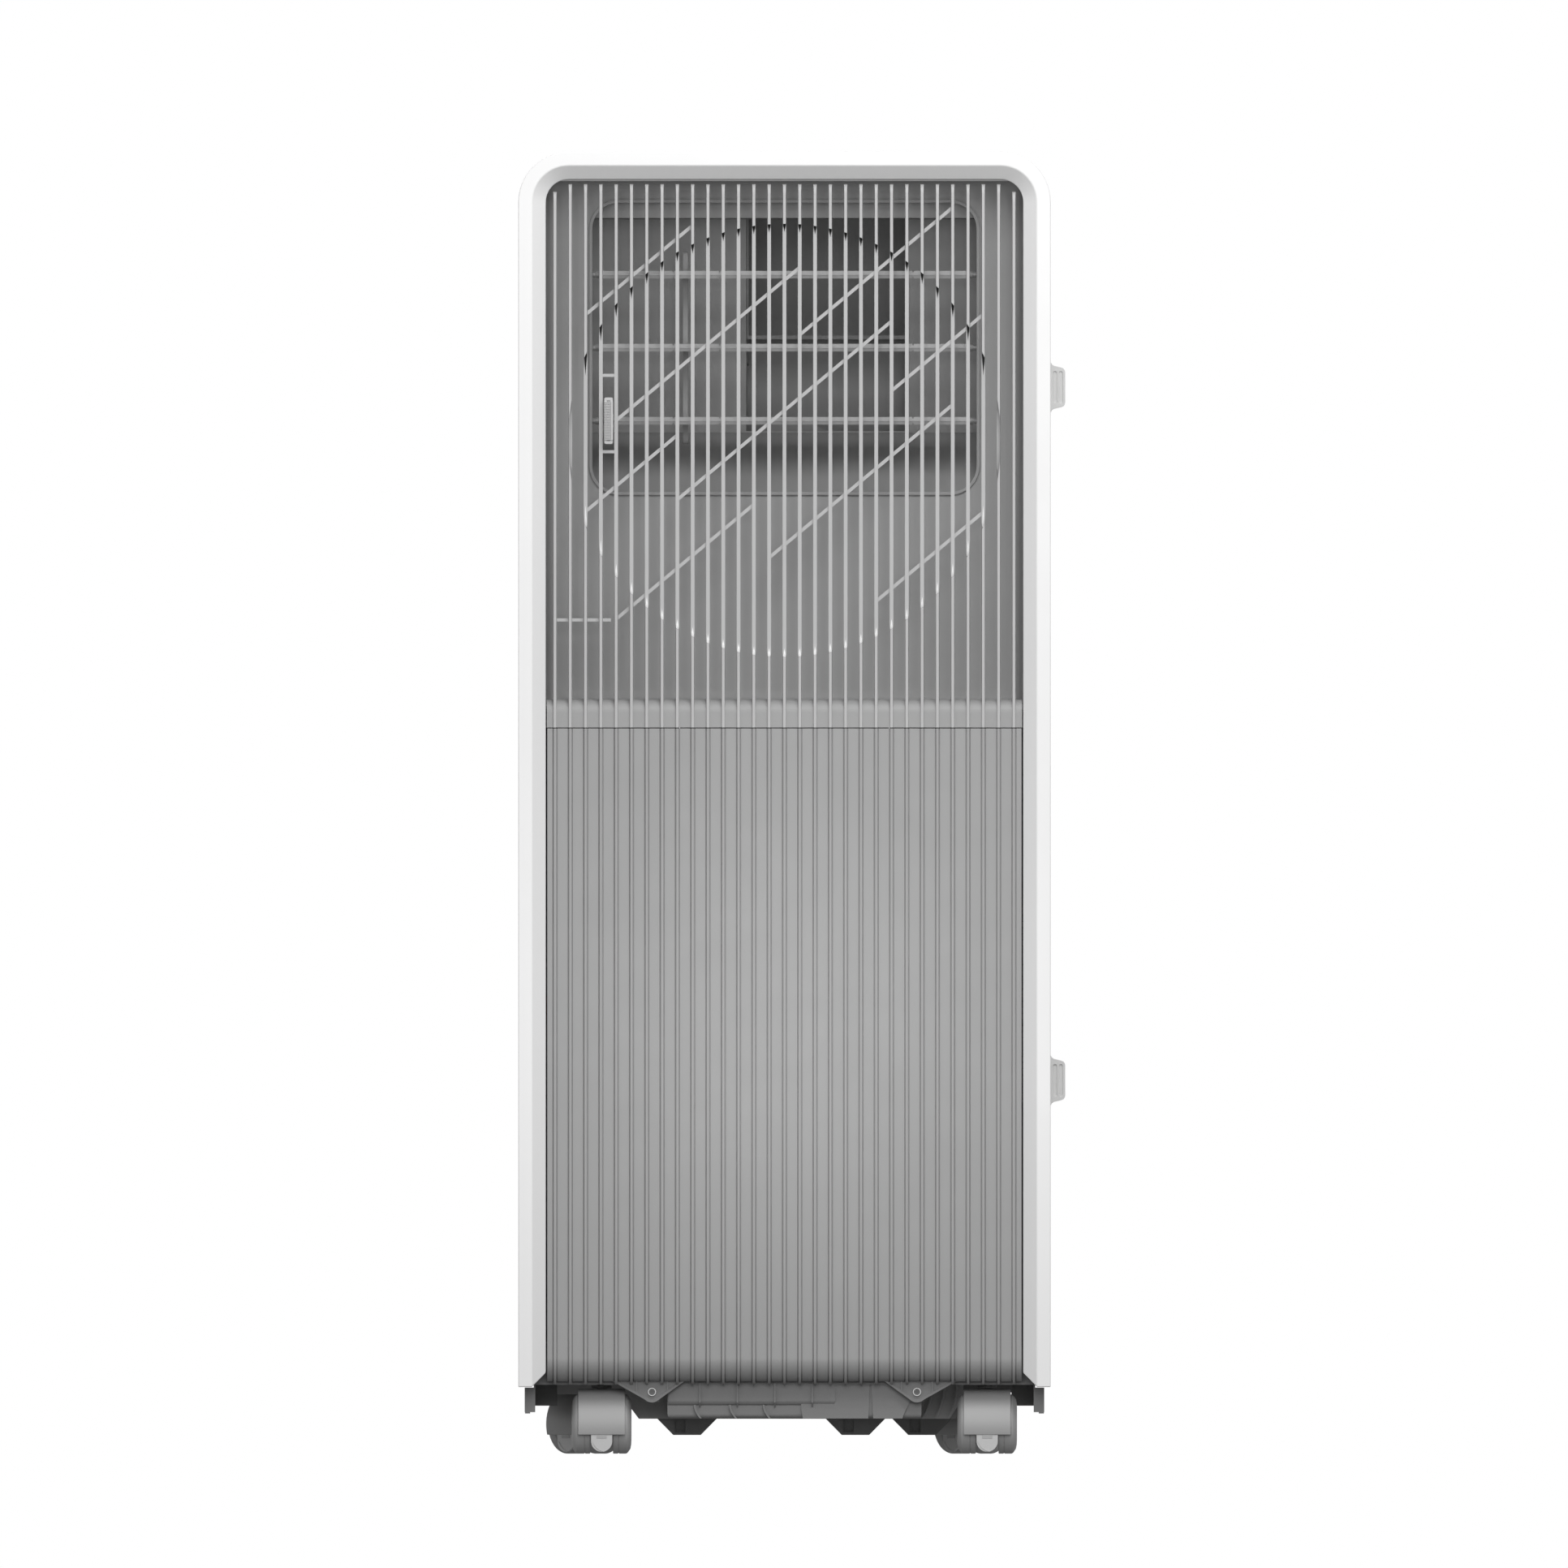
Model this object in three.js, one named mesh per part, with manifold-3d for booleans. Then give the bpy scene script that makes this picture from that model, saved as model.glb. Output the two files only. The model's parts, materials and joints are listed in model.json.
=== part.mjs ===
// Portable room air conditioner on casters: an inverted-U casing with a barred front grille over three
// tilting louvers, a fluted lower front, a rear cover with two slide-out filters, and the cooling plant.
// Millimetres, +Z up, the front faces -Y, the floor is z = 0.
import * as THREE from "three";
import { mergeVertices } from "three/addons/utils/BufferGeometryUtils.js";
import Module from "manifold-3d";

const wasm = await Module();
wasm.setup();

// ---------------------------------------------------------------- driving dimensions
const WIDTH = 348; // casing, side to side
const HEIGHT = 851; // floor to the casing's top
const FRONT = -170; // front face of the casing
const CASING_BACK = 96; // rear edge of the casing
const COVER_BACK = 156; // rear face of the rear cover
const COLLAR_BACK = 170; // rear face of the exhaust collar
const CORNER = 33; // outer corner radius of the casing
const BAND = 9; // flat rim around the front
const BEVEL = 9; // sloping inner rim, as wide as it is deep
const SKIN = 3; // casing wall
const CASING_FOOT = 43.5; // lower edge of the casing
const PITCH = 10; // between grille bars
const BAR_COUNT = 31;
const BAR_FACE = FRONT + BEVEL; // front of the bars and of the flutes
const BAR_DEPTH = 9;
const FLUTE = 2; // how far a flute stands off the lower panel
const PANEL_SPLIT = 474.3; // joint between the grille and the lower panel
const PANEL_FOOT = 47.2; // lower edge of the lower panel
const DISH_Z = 662.3; // centre of the round dish in the bars
const DISH_R = 141.5;
const DISH_DEPTH = 4;
const WINDOW = { x: 125.5, low: 628.7, high: 817.5, corner: 17 }; // air outlet window
const OUTLET_WALL = -125; // front face of the wall around the window
const DUCT = { back: -58, wall: 2.5 }; // the air duct behind the window
const LOUVER_Y = -112; // louver pivots
const LOUVER_Z = [675.1, 722.9, 770.6]; // lower, middle, upper
const CRANK = 16; // louver pivot to the link rod's pins
const LINK_X = -63.4;
const KNOB_X = -115; // between the fourth and fifth bars
const FILTER_OUT = 9.5; // how far a filter's pull tab stands out of the casing
const FILTERS = { upper: { z: 697, half: 128 }, lower: { z: 244, half: 116 } };
const PORT_Z = 465; // centre of the exhaust port
const PORT_R = 62;
const CASTER_X = [-119.5, 132.5];
const CASTER_Y = { front: -105, rear: 115 };
const CASTER_TURN = { front: 0, rear: -39 }; // how the casters stand at rest, degrees
const TRAIL = 16; // caster stem to axle
const WHEEL_R = 19.35;
const GAP = 0.3; // clearance between pieces that touch
const HALF = WIDTH / 2;

// ---------------------------------------------------------------- shape helpers
/** A closed three.js geometry as a manifold solid. */
function solid(geometry) {
  const loose = geometry.index ? geometry.toNonIndexed() : geometry.clone();
  loose.deleteAttribute("normal");
  loose.deleteAttribute("uv");
  const merged = mergeVertices(loose, 1e-4);
  const mesh = new wasm.Mesh({
    numProp: 3,
    vertProperties: merged.attributes.position.array,
    triVerts: new Uint32Array(merged.index.array),
  });
  return new wasm.Manifold(mesh);
}

/** A manifold solid as a three.js geometry. */
function geometryOf(made) {
  const mesh = made.getMesh();
  const geometry = new THREE.BufferGeometry();
  geometry.setAttribute("position", new THREE.BufferAttribute(mesh.vertProperties, 3));
  geometry.setIndex(new THREE.BufferAttribute(mesh.triVerts, 1));
  return geometry;
}

const join = (...parts) => parts.flat().reduce((sum, part) => sum.add(part));
const cut = (body, ...tools) => tools.flat().reduce((left, tool) => left.subtract(tool), body);

/** A box between two corners. */
function block(x0, x1, y0, y1, z0, z1) {
  const box = new THREE.BoxGeometry(x1 - x0, y1 - y0, z1 - z0);
  return solid(box.translate((x0 + x1) / 2, (y0 + y1) / 2, (z0 + z1) / 2));
}

/** An outline pushed along an axis. Outline coordinates are (y, z), (x, z) or (x, y) for axis x, y or z. */
function prism(axis, outline, low, high, curveSegments = 3) {
  const shape = outline instanceof THREE.Shape ? outline : new THREE.Shape(outline);
  const settings = { depth: high - low, bevelEnabled: false, curveSegments };
  const geometry = new THREE.ExtrudeGeometry(shape, settings);
  const turn = new THREE.Matrix4();
  if (axis === "x") turn.set(0, 0, 1, low, 1, 0, 0, 0, 0, 1, 0, 0, 0, 0, 0, 1);
  if (axis === "y") turn.set(1, 0, 0, 0, 0, 0, -1, high, 0, 1, 0, 0, 0, 0, 0, 1);
  if (axis === "z") turn.makeTranslation(0, 0, low);
  return solid(geometry.applyMatrix4(turn));
}

/** A round bar along an axis; its centre is given in the other two coordinates, in order. */
function rod(axis, radius, low, high, centre, sides = 12, endRadius = radius) {
  const bar = new THREE.CylinderGeometry(endRadius, radius, high - low, sides);
  bar.rotateY(Math.PI / sides); // a flat facet, not an edge, at the front, back, left and right
  bar.translate(0, (low + high) / 2, 0);
  if (axis === "x") bar.rotateZ(-Math.PI / 2).translate(0, centre[0], centre[1]);
  if (axis === "y") bar.translate(centre[0], 0, centre[1]);
  if (axis === "z") bar.rotateX(Math.PI / 2).translate(centre[0], centre[1], 0);
  return solid(bar);
}

const pipe = (axis, outer, inner, low, high, centre, sides) =>
  cut(rod(axis, outer, low, high, centre, sides), rod(axis, inner, low - 1, high + 1, centre, sides));

const points = (...pairs) => pairs.map(([u, v]) => new THREE.Vector2(u, v));

/** A rectangle with round corners. */
function roundedRect(u0, u1, v0, v1, r) {
  const shape = new THREE.Shape();
  shape.absarc(u1 - r, v0 + r, r, -Math.PI / 2, 0);
  shape.absarc(u1 - r, v1 - r, r, 0, Math.PI / 2);
  shape.absarc(u0 + r, v1 - r, r, Math.PI / 2, Math.PI);
  shape.absarc(u0 + r, v0 + r, r, Math.PI, 1.5 * Math.PI);
  return shape;
}

/** The casing's front outline, flat at its foot and round at its two upper corners, moved in by inset. */
function arch(inset, foot) {
  const x = HALF - inset;
  const top = HEIGHT - inset;
  const r = CORNER - inset;
  const shape = new THREE.Shape();
  shape.moveTo(-x, foot);
  shape.lineTo(x, foot);
  shape.absarc(x - r, top - r, r, 0, Math.PI / 2);
  shape.absarc(r - x, top - r, r, Math.PI / 2, Math.PI);
  return shape;
}

/** A solid between two outlines with the same number of points, at y0 and y1 (y0 < y1). */
function loft(outline0, y0, outline1, y1, curveSegments = 3) {
  const rings = [outline0, outline1].map((o) => {
    const ring = o.getPoints(curveSegments);
    if (ring[0].distanceTo(ring.at(-1)) < 1e-6) ring.pop();
    return ring;
  });
  const n = rings[0].length;
  const ys = [y0, y1];
  const at = rings.flatMap((ring, k) => ring.flatMap((p) => [p.x, ys[k], p.y]));
  const faces = THREE.ShapeUtils.triangulateShape(rings[0], []);
  const index = faces.flatMap(([a, b, c]) => [a, b, c, n + c, n + b, n + a]);
  for (let i = 0; i < n; i++) {
    const j = (i + 1) % n;
    index.push(i, n + j, j, i, n + i, n + j);
  }
  const geometry = new THREE.BufferGeometry();
  geometry.setAttribute("position", new THREE.Float32BufferAttribute(at, 3));
  geometry.setIndex(index);
  return solid(geometry);
}

/** A solid of revolution about X; the profile's pairs are (x, radius). */
function turned(profile, sides = 16) {
  const lathe = new THREE.LatheGeometry(points(...profile.map(([x, r]) => [r, x])), sides);
  lathe.rotateY(Math.PI / sides).rotateZ(-Math.PI / 2);
  return solid(lathe);
}

// ---------------------------------------------------------------- the scene graph
const cabinet = new THREE.Group();
cabinet.position.x = -FILTER_OUT / 2; // the pull tabs stand out to the right only

const finishes = {
  casing: { color: 0xf2f2f1, roughness: 0.45, metalness: 0 },
  grille: { color: 0x9a9a9a, roughness: 0.5, metalness: 0 },
  inner: { color: 0x7e7e7e, roughness: 0.6, metalness: 0 },
  base: { color: 0x5e5e5e, roughness: 0.6, metalness: 0 },
  caster: { color: 0x9c9c9c, roughness: 0.5, metalness: 0 },
  louver: { color: 0x8c8c8c, roughness: 0.5, metalness: 0 },
  knob: { color: 0xc4c4c4, roughness: 0.5, metalness: 0 },
  filter: { color: 0xe2e2e1, roughness: 0.6, metalness: 0 },
  fascia: { color: 0x1c1d1f, roughness: 0.15, metalness: 0 },
  key: { color: 0xd8d8d8, roughness: 0.4, metalness: 0 },
  steel: { color: 0xb4b6b8, roughness: 0.3, metalness: 1 },
  compressor: { color: 0x202124, roughness: 0.5, metalness: 0.2 },
  fins: { color: 0xc3c7ca, roughness: 0.4, metalness: 1 },
  copper: { color: 0xb87345, roughness: 0.35, metalness: 1 },
  board: { color: 0x2f5d3a, roughness: 0.6, metalness: 0 },
};

const materials = Object.fromEntries(
  Object.entries(finishes).map(([name, look]) => [name, new THREE.MeshStandardMaterial(look)]),
);

/** Adds a named mesh to the cabinet. */
function add(name, finish, made) {
  const mesh = new THREE.Mesh(geometryOf(made), materials[finish]);
  mesh.name = name;
  cabinet.add(mesh);
}

// ---------------------------------------------------------------- casing
const FASCIA = { x: 100, front: -132, back: -72, corner: 6, thick: 4.5 };
const HANDLE = { front: -20, back: 80, low: 598, high: 640, corner: 12, deep: 26 };

function outerCasing() {
  const low = CASING_FOOT - 10;
  const walls = cut(
    prism("y", arch(0, CASING_FOOT), FRONT, CASING_BACK),
    prism("y", arch(SKIN, low), FRONT + SKIN + 0.5, CASING_BACK + 1),
  );
  const rim = [arch(BAND, CASING_FOOT), arch(BAND + BEVEL, CASING_FOOT)];
  const behindBevel = loft(rim[0], FRONT + SKIN, rim[1], BAR_FACE + SKIN);
  const mouth = loft(arch(BAND, low), FRONT, arch(BAND + BEVEL, low), BAR_FACE);
  const mouthFront = prism("y", arch(BAND, low), FRONT - 1, FRONT);
  const mouthBack = prism("y", arch(BAND + BEVEL, low), BAR_FACE, BAR_FACE + 20);
  const behind = BAR_FACE + 4;
  const mitre = points([FRONT, 40], [FRONT, CASING_FOOT], [BAR_FACE, 47.7], [behind, 47.7], [behind, 40]);
  const panel = roundedRect(-FASCIA.x, FASCIA.x, FASCIA.front, FASCIA.back, FASCIA.corner);
  const control = prism("z", panel, HEIGHT - 5, HEIGHT + 1);
  const hand = roundedRect(HANDLE.front, HANDLE.back, HANDLE.low, HANDLE.high, HANDLE.corner);
  const grip = prism("x", hand, -HALF - 1, HALF + 1);
  return cut(
    join(walls, behindBevel),
    mouth, mouthFront, mouthBack,
    prism("x", mitre, -HALF + BAND, HALF - BAND),
    control, grip,
  );
}

/** A recessed hand grip: a cup behind the opening in the casing's side. */
function handGrip(side) {
  const face = HALF - SKIN - GAP;
  const outer = roundedRect(HANDLE.front - 4, HANDLE.back + 4, HANDLE.low - 4, HANDLE.high + 4, 15);
  const inner = roundedRect(HANDLE.front, HANDLE.back, HANDLE.low, HANDLE.high, HANDLE.corner);
  const floor = face - HANDLE.deep;
  const cup = cut(prism("x", outer, floor, face), prism("x", inner, floor + 2.5, face + 1));
  return side > 0 ? cup : cup.mirror([1, 0, 0]);
}

add("outer_casing", "casing", outerCasing());
add("hand_grip_left", "inner", handGrip(-1));
add("hand_grip_right", "inner", handGrip(1));

// ---------------------------------------------------------------- control panel on top
const KEYS = ["power", "mode", "fan_speed", "minus", "plus", "timer"];
const KEY = { r: 5, y: -112, pitch: 26, proud: 0.8, flange: 6.4, travel: 1 };
const DISPLAY = { x: 28, front: -98, back: -80, ledge: 2, top: HEIGHT - 0.4, foot: HEIGHT - 3 };
const BOARD = { x: 92, front: -126, back: -76, top: HEIGHT - FASCIA.thick - 1.8 - 3 * GAP - KEY.travel };

function controlFascia() {
  const edge = GAP + 0.1;
  const plate = prism(
    "z",
    roundedRect(-FASCIA.x + edge, FASCIA.x - edge, FASCIA.front + edge, FASCIA.back - edge, 5.6),
    HEIGHT - FASCIA.thick, HEIGHT - 0.2,
  );
  const out = FASCIA.x + 8;
  const under = block(-out, out, FASCIA.front - 6, FASCIA.back + 6, HEIGHT - 6.5, HEIGHT - SKIN - GAP);
  const inside = FASCIA.x - 3;
  const well = block(-inside, inside, FASCIA.front + 3, FASCIA.back - 3, HEIGHT - 8, HEIGHT - 3.5);
  const keys = KEYS.map((_, i) => rod("z", KEY.r + 0.3, HEIGHT - 10, HEIGHT + 1, [keyX(i), KEY.y]));
  const { x, front, back, ledge, foot } = DISPLAY;
  const seat = block(-x, x, front, back, foot - GAP, HEIGHT + 1);
  const light = block(-x + ledge, x - ledge, front + ledge, back - ledge, HEIGHT - 10, HEIGHT);
  return cut(join(plate, cut(under, well)), ...keys, seat, light);
}

const keyX = (i) => (i - (KEYS.length - 1) / 2) * KEY.pitch;

function keyCap(i) {
  const centre = [keyX(i), KEY.y];
  const top = HEIGHT - FASCIA.thick - GAP;
  const cap = rod("z", KEY.r, top - 1, HEIGHT + KEY.proud, centre);
  return join(cap, rod("z", KEY.flange, top - 1.8, top, centre));
}

function displayLens() {
  const { x, front, back, top, foot } = DISPLAY;
  return block(-x + GAP, x - GAP, front + GAP, back - GAP, foot, top);
}

/** The board under the keys, on two posts that reach the outlet duct's roof. */
function controlBoard() {
  const { x, front, back, top } = BOARD;
  const roof = WINDOW.high + DUCT.wall + GAP;
  const posts = [-80, 80].map((at) => block(at - 4, at + 4, -106, -98, roof, top - 1));
  return join(block(-x, x, front, back, top - 1.6, top), ...posts);
}

add("control_fascia", "fascia", controlFascia());
add("display_lens", "fascia", displayLens());
add("control_board", "board", controlBoard());
KEYS.forEach((name, i) => add(`key_${name}`, "key", keyCap(i)));

// ---------------------------------------------------------------- front grille
const BAR = { face: 1.75, back: 3.2 }; // width at the front and at the back
const GRILLE_TOP = HEIGHT - BAND - BEVEL - 3;
const SLOPE = Math.tan(THREE.MathUtils.degToRad(39.8)); // of the slanting stiffeners
const barX = (k) => (k - (BAR_COUNT - 1) / 2) * PITCH;
// Each slanting stiffener runs up and to the right from bar k0, at height z0, to bar k1.
const STIFFENERS = [
  { k0: 2, z0: 744.5, k1: 9 },
  { k0: 4, z0: 675.4, k1: 16 },
  { k0: 16, z0: 731.3, k1: 26 },
  { k0: 8, z0: 623.6, k1: 22 },
  { k0: 22, z0: 694.7, k1: 28 },
  { k0: 2, z0: 615.8, k1: 8 },
  { k0: 4, z0: 545.5, k1: 13 },
  { k0: 14, z0: 585.7, k1: 26 },
  { k0: 21, z0: 557.2, k1: 28 },
];
const STOPS = [654.9, 704.8]; // short ribs that stop the louver knob
const STIFF = { front: BAR_FACE + 4.6, back: BAR_FACE + 8.4, half: 1.2 };

function grilleBar(k) {
  const x = barX(k);
  const [front, back] = [BAR_FACE, BAR_FACE + BAR_DEPTH];
  const outer = k === 0 || k === BAR_COUNT - 1;
  const section = points(
    [x - BAR.face / 2, front], [x + BAR.face / 2, front],
    [x + BAR.back / 2, back], [x - BAR.back / 2, back],
  );
  return prism("z", section, PANEL_SPLIT + GAP, outer ? 825 : 830);
}

function stiffener({ k0, z0, k1 }) {
  const rise = (barX(k1) - barX(k0)) * SLOPE;
  const up = STIFF.half / Math.cos(Math.atan(SLOPE));
  const outline = points(
    [barX(k0), z0 - up], [barX(k1), z0 + rise - up], [barX(k1), z0 + rise + up], [barX(k0), z0 + up],
  );
  return prism("y", outline, STIFF.front, STIFF.back);
}

function frontGrille() {
  const bars = Array.from({ length: BAR_COUNT }, (_, k) => grilleBar(k));
  const rib = (x0, x1, z) => block(x0, x1, STIFF.front, STIFF.back, z - 1, z + 1);
  const y0 = BAR_FACE + 3.6;
  const y1 = BAR_FACE + BAR_DEPTH + 1.5;
  const ring = cut(
    prism("y", arch(BAND + BEVEL - 3, PANEL_SPLIT + GAP), y0, y1),
    prism("y", arch(BAND + BEVEL + 0.6, PANEL_SPLIT - 5), y0 - 1, y1 + 1),
  );
  const topWeb = prism(
    "y",
    roundedRect(-HALF + 18, HALF - 18, 824, GRILLE_TOP + 4, 3),
    BAR_FACE + BAR_DEPTH - 1.5, y1,
  );
  const half = HALF - BAND - BEVEL - 0.2;
  const apron = block(-half, half, BAR_FACE + FLUTE, BAR_FACE + BAR_DEPTH, PANEL_SPLIT + GAP, 488);
  const dish = rod("y", DISH_R, BAR_FACE - 1, BAR_FACE + DISH_DEPTH, [0, DISH_Z], 36);
  const body = cut(join(...bars, apron), dish);
  const foot = rib(barX(0), barX(4), 545.2);
  const stops = STOPS.map((z) => rib(barX(3), barX(4), z));
  return join(body, ring, topWeb, foot, ...STIFFENERS.map(stiffener), ...stops);
}

add("front_grille", "grille", frontGrille());

// ---------------------------------------------------------------- fluted lower front panel
const TAB = { x: 86.6, half: 22.3, foot: 32.9, screw: 40.3, y: -146 };
const HEM = 15; // radius with which the panel turns back at its foot

/** The panel's side profile, standing in front of the plain face, with its foot turned back by a hem. */
function panelProfile(stand, thick) {
  const y = BAR_FACE + FLUTE - stand;
  const centre = { y: BAR_FACE + FLUTE + HEM, z: PANEL_FOOT + HEM };
  const outline = [];
  const steps = 3;
  const arcPoint = (r, i) => {
    const a = (i / steps) * (Math.PI / 2);
    return [centre.y - r * Math.cos(a), centre.z - r * Math.sin(a)];
  };
  outline.push([y + thick + stand, PANEL_SPLIT - GAP], [y, PANEL_SPLIT - GAP]);
  for (let i = 0; i <= steps; i++) outline.push(arcPoint(HEM + stand, i));
  for (let i = steps; i >= 0; i--) outline.push(arcPoint(HEM - thick, i));
  return points(...outline);
}

function screwTab(x) {
  const { half, foot, y } = TAB;
  const outline = new THREE.Shape();
  outline.moveTo(x - half, PANEL_FOOT + 2);
  outline.lineTo(x - 5, foot + 2.5);
  outline.quadraticCurveTo(x, foot - 1, x + 5, foot + 2.5);
  outline.lineTo(x + half, PANEL_FOOT + 2);
  const inner = new THREE.Shape();
  inner.moveTo(x - half + 4, PANEL_FOOT + 3);
  inner.lineTo(x - 4.6, foot + 4.6);
  inner.quadraticCurveTo(x, foot + 2, x + 4.6, foot + 4.6);
  inner.lineTo(x + half - 4, PANEL_FOOT + 3);
  const plate = cut(
    prism("y", outline, y, y + 4, 3),
    prism("y", inner, y - 1, y + 1.5, 3),
    rod("y", 1.7, y - 1, y + 5, [x, TAB.screw], 8),
  );
  const rib = (at) => block(at - 0.6, at + 0.6, y + 0.2, y + 2, foot + 6.5, PANEL_FOOT + 1);
  const ribs = [rib(x - 9), rib(x + 9)];
  return join(plate, ...ribs);
}

function lowerFrontPanel() {
  const x = HALF - BAND - BEVEL - 0.9;
  const plate = prism("x", panelProfile(0, 2.5), -x, x);
  const flutes = Array.from({ length: BAR_COUNT }, (_, k) =>
    prism("x", panelProfile(FLUTE, 1), barX(k) - BAR.face / 2, barX(k) + BAR.face / 2),
  );
  const flange = (side) => {
    const edges = [side * x, side * (x - 2.5)].sort((a, b) => a - b);
    return block(...edges, BAR_FACE + FLUTE + 1, BAR_FACE + 16, PANEL_FOOT + HEM, PANEL_SPLIT - GAP);
  };
  return join(plate, ...flutes, flange(1), flange(-1), screwTab(TAB.x), screwTab(-TAB.x));
}

function panelScrew(side) {
  const centre = [side * TAB.x, TAB.screw];
  const y = TAB.y + 1.5 - GAP;
  const slot = block(centre[0] - 1.8, centre[0] + 1.8, y - 2, y - 1, centre[1] - 0.4, centre[1] + 0.4);
  const head = cut(rod("y", 2.75, y - 1.6, y, centre), slot);
  return join(head, rod("y", 1.4, y - 0.2, y + 9, centre, 8));
}

add("lower_front_panel", "grille", lowerFrontPanel());
add("panel_screw_left", "steel", panelScrew(-1));
add("panel_screw_right", "steel", panelScrew(1));

// ---------------------------------------------------------------- outlet housing, duct, louvers
const BLOWER_MOUTH = { left: -22, right: 79.8, low: 668.4, high: 806.9 };

/** The outlet window's outline, grown on every side. */
function windowOutline(grow) {
  const { x, low, high, corner } = WINDOW;
  return roundedRect(-x - grow, x + grow, low - grow, high + grow, corner + grow);
}

function outletHousing() {
  const front = BAR_FACE + BAR_DEPTH + 2;
  const low = 486;
  const tray = cut(
    prism("y", arch(BAND + BEVEL - 4, low), front, OUTLET_WALL + 2.5),
    prism("y", arch(BAND + BEVEL - 1.5, low + 3), front - 1, OUTLET_WALL),
  );
  const lip = prism("y", windowOutline(2.2), OUTLET_WALL - 1.5, OUTLET_WALL + 1);
  return cut(join(tray, lip), prism("y", windowOutline(0), OUTLET_WALL - 5, OUTLET_WALL + 5));
}

function outletDuct() {
  const front = OUTLET_WALL + 2.5 + GAP;
  const { wall } = DUCT;
  const { left, right, low, high } = BLOWER_MOUTH;
  const outer = prism("y", windowOutline(wall), front, DUCT.back);
  const hollow = prism("y", windowOutline(0), front - 1, DUCT.back - wall);
  const ramp = points([front, WINDOW.low - 1], [DUCT.back - 1, WINDOW.low - 1], [DUCT.back - 1, low]);
  const roof = points([front, WINDOW.high + 1], [DUCT.back - 1, high], [DUCT.back - 1, WINDOW.high + 1]);
  const slopes = [ramp, roof].map((outline) => prism("x", outline, -WINDOW.x - 1, WINDOW.x + 1));
  const body = join(cut(outer, hollow), ...slopes);
  const pivots = LOUVER_Z.map((z) => rod("x", PIN_R + 0.25, -HALF, HALF, [LOUVER_Y, z], 12));
  return cut(body, block(left, right, DUCT.back - 6, DUCT.back + 1, low, high), ...pivots);
}

const PIN_R = 1.7;
const BLADE = { chord: 40, thick: 5, edge: 0.7, x: 121 };

/** A blade's lens-shaped section, grown all round by clear. */
function bladeSection(z, clear = 0) {
  const half = BLADE.chord / 2 + clear;
  const side = (sign) => [-1, -0.5, 0, 0.5, 1].map((t) => {
    const thick = BLADE.edge + (BLADE.thick / 2 - BLADE.edge) * (1 - t * t);
    return [LOUVER_Y + t * half, z + sign * (thick + clear)];
  });
  return points(...side(-1), ...side(1).reverse());
}

/** A blade on two pivot pins, notched behind for the link rod, which hangs on a pin across the notch. */
function louver(z) {
  const half = BLADE.chord / 2;
  const t = BLADE.thick / 2;
  const blade = cut(
    prism("x", bladeSection(z), -BLADE.x, BLADE.x),
    block(LINK_X - 6, LINK_X + 4, LOUVER_Y + 9, LOUVER_Y + half + 1, z - t - 1, z + t + 1),
  );
  const pins = rod("x", PIN_R, -WINDOW.x - 2, WINDOW.x + 2, [LOUVER_Y, z], 12);
  const linkPin = rod("x", 1.2, LINK_X - 8, LINK_X + 2.5, [LOUVER_Y + CRANK, z], 10);
  return join(blade, pins, linkPin);
}

/** The flat rod that joins the three blades, with a hole for each blade's pin. */
function louverLink() {
  const y = LOUVER_Y + CRANK;
  const outline = roundedRect(y - 3, y + 3, LOUVER_Z[0] - 15, LOUVER_Z[2] + 15, 2.9);
  const holes = LOUVER_Z.map((z) => rod("x", 1.55, LINK_X - 5, LINK_X + 5, [y, z], 10));
  return cut(prism("x", outline, LINK_X - 3, LINK_X + 0.4, 3), ...holes);
}

const KNOB = { width: 5.8, half: 15.3, front: BAR_FACE - 3, back: BAR_FACE + 3 };

/** The lever that clips on the lowest blade and comes out between two bars as a serrated knob. */
function louverKnob() {
  const z = LOUVER_Z[0];
  const w = KNOB.width / 2;
  const face = roundedRect(KNOB_X - w, KNOB_X + w, z - KNOB.half, z + KNOB.half, 1.2);
  const plate = prism("y", face, KNOB.front + 1.4, KNOB.back, 2);
  const slots = [-1, 1].map((s) =>
    block(KNOB_X - 1.2, KNOB_X + 1.2, KNOB.front, KNOB.front + 3, z + s * 12.9 - 0.6, z + s * 12.9 + 0.6),
  );
  const teeth = Array.from({ length: 12 }, (_, i) => {
    const at = z + (i - 5.5) * 1.95;
    return block(KNOB_X - w, KNOB_X + w - 1.4, KNOB.front, KNOB.front + 1.6, at - 0.5, at + 0.5);
  });
  const edge = LOUVER_Y - BLADE.chord / 2;
  const arm = block(KNOB_X - 1.5, KNOB_X + 1.5, KNOB.back - 1, edge - 1.5, z - 3, z + 3);
  const fork = block(KNOB_X - 3, KNOB_X + 3, edge - 3, LOUVER_Y - 5, z - 5, z + 5);
  const grip = prism("x", bladeSection(z, GAP), KNOB_X - 4, KNOB_X + 4);
  return join(cut(plate, ...slots), ...teeth, arm, cut(fork, grip));
}

add("outlet_housing", "inner", outletHousing());
add("outlet_duct", "inner", outletDuct());
["lower", "middle", "upper"].forEach((name, i) => add(`louver_${name}`, "louver", louver(LOUVER_Z[i])));
add("louver_link", "louver", louverLink());
add("louver_knob", "knob", louverKnob());

// ---------------------------------------------------------------- rear cover, filters, exhaust collar
const FILTER = { front: 139, back: 146, left: -138 };
const DRAINS = { upper: { x: 120, z: 545 }, lower: { x: 104, z: 61 } };
const GLAND = { x: -128, z: 92 };

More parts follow.
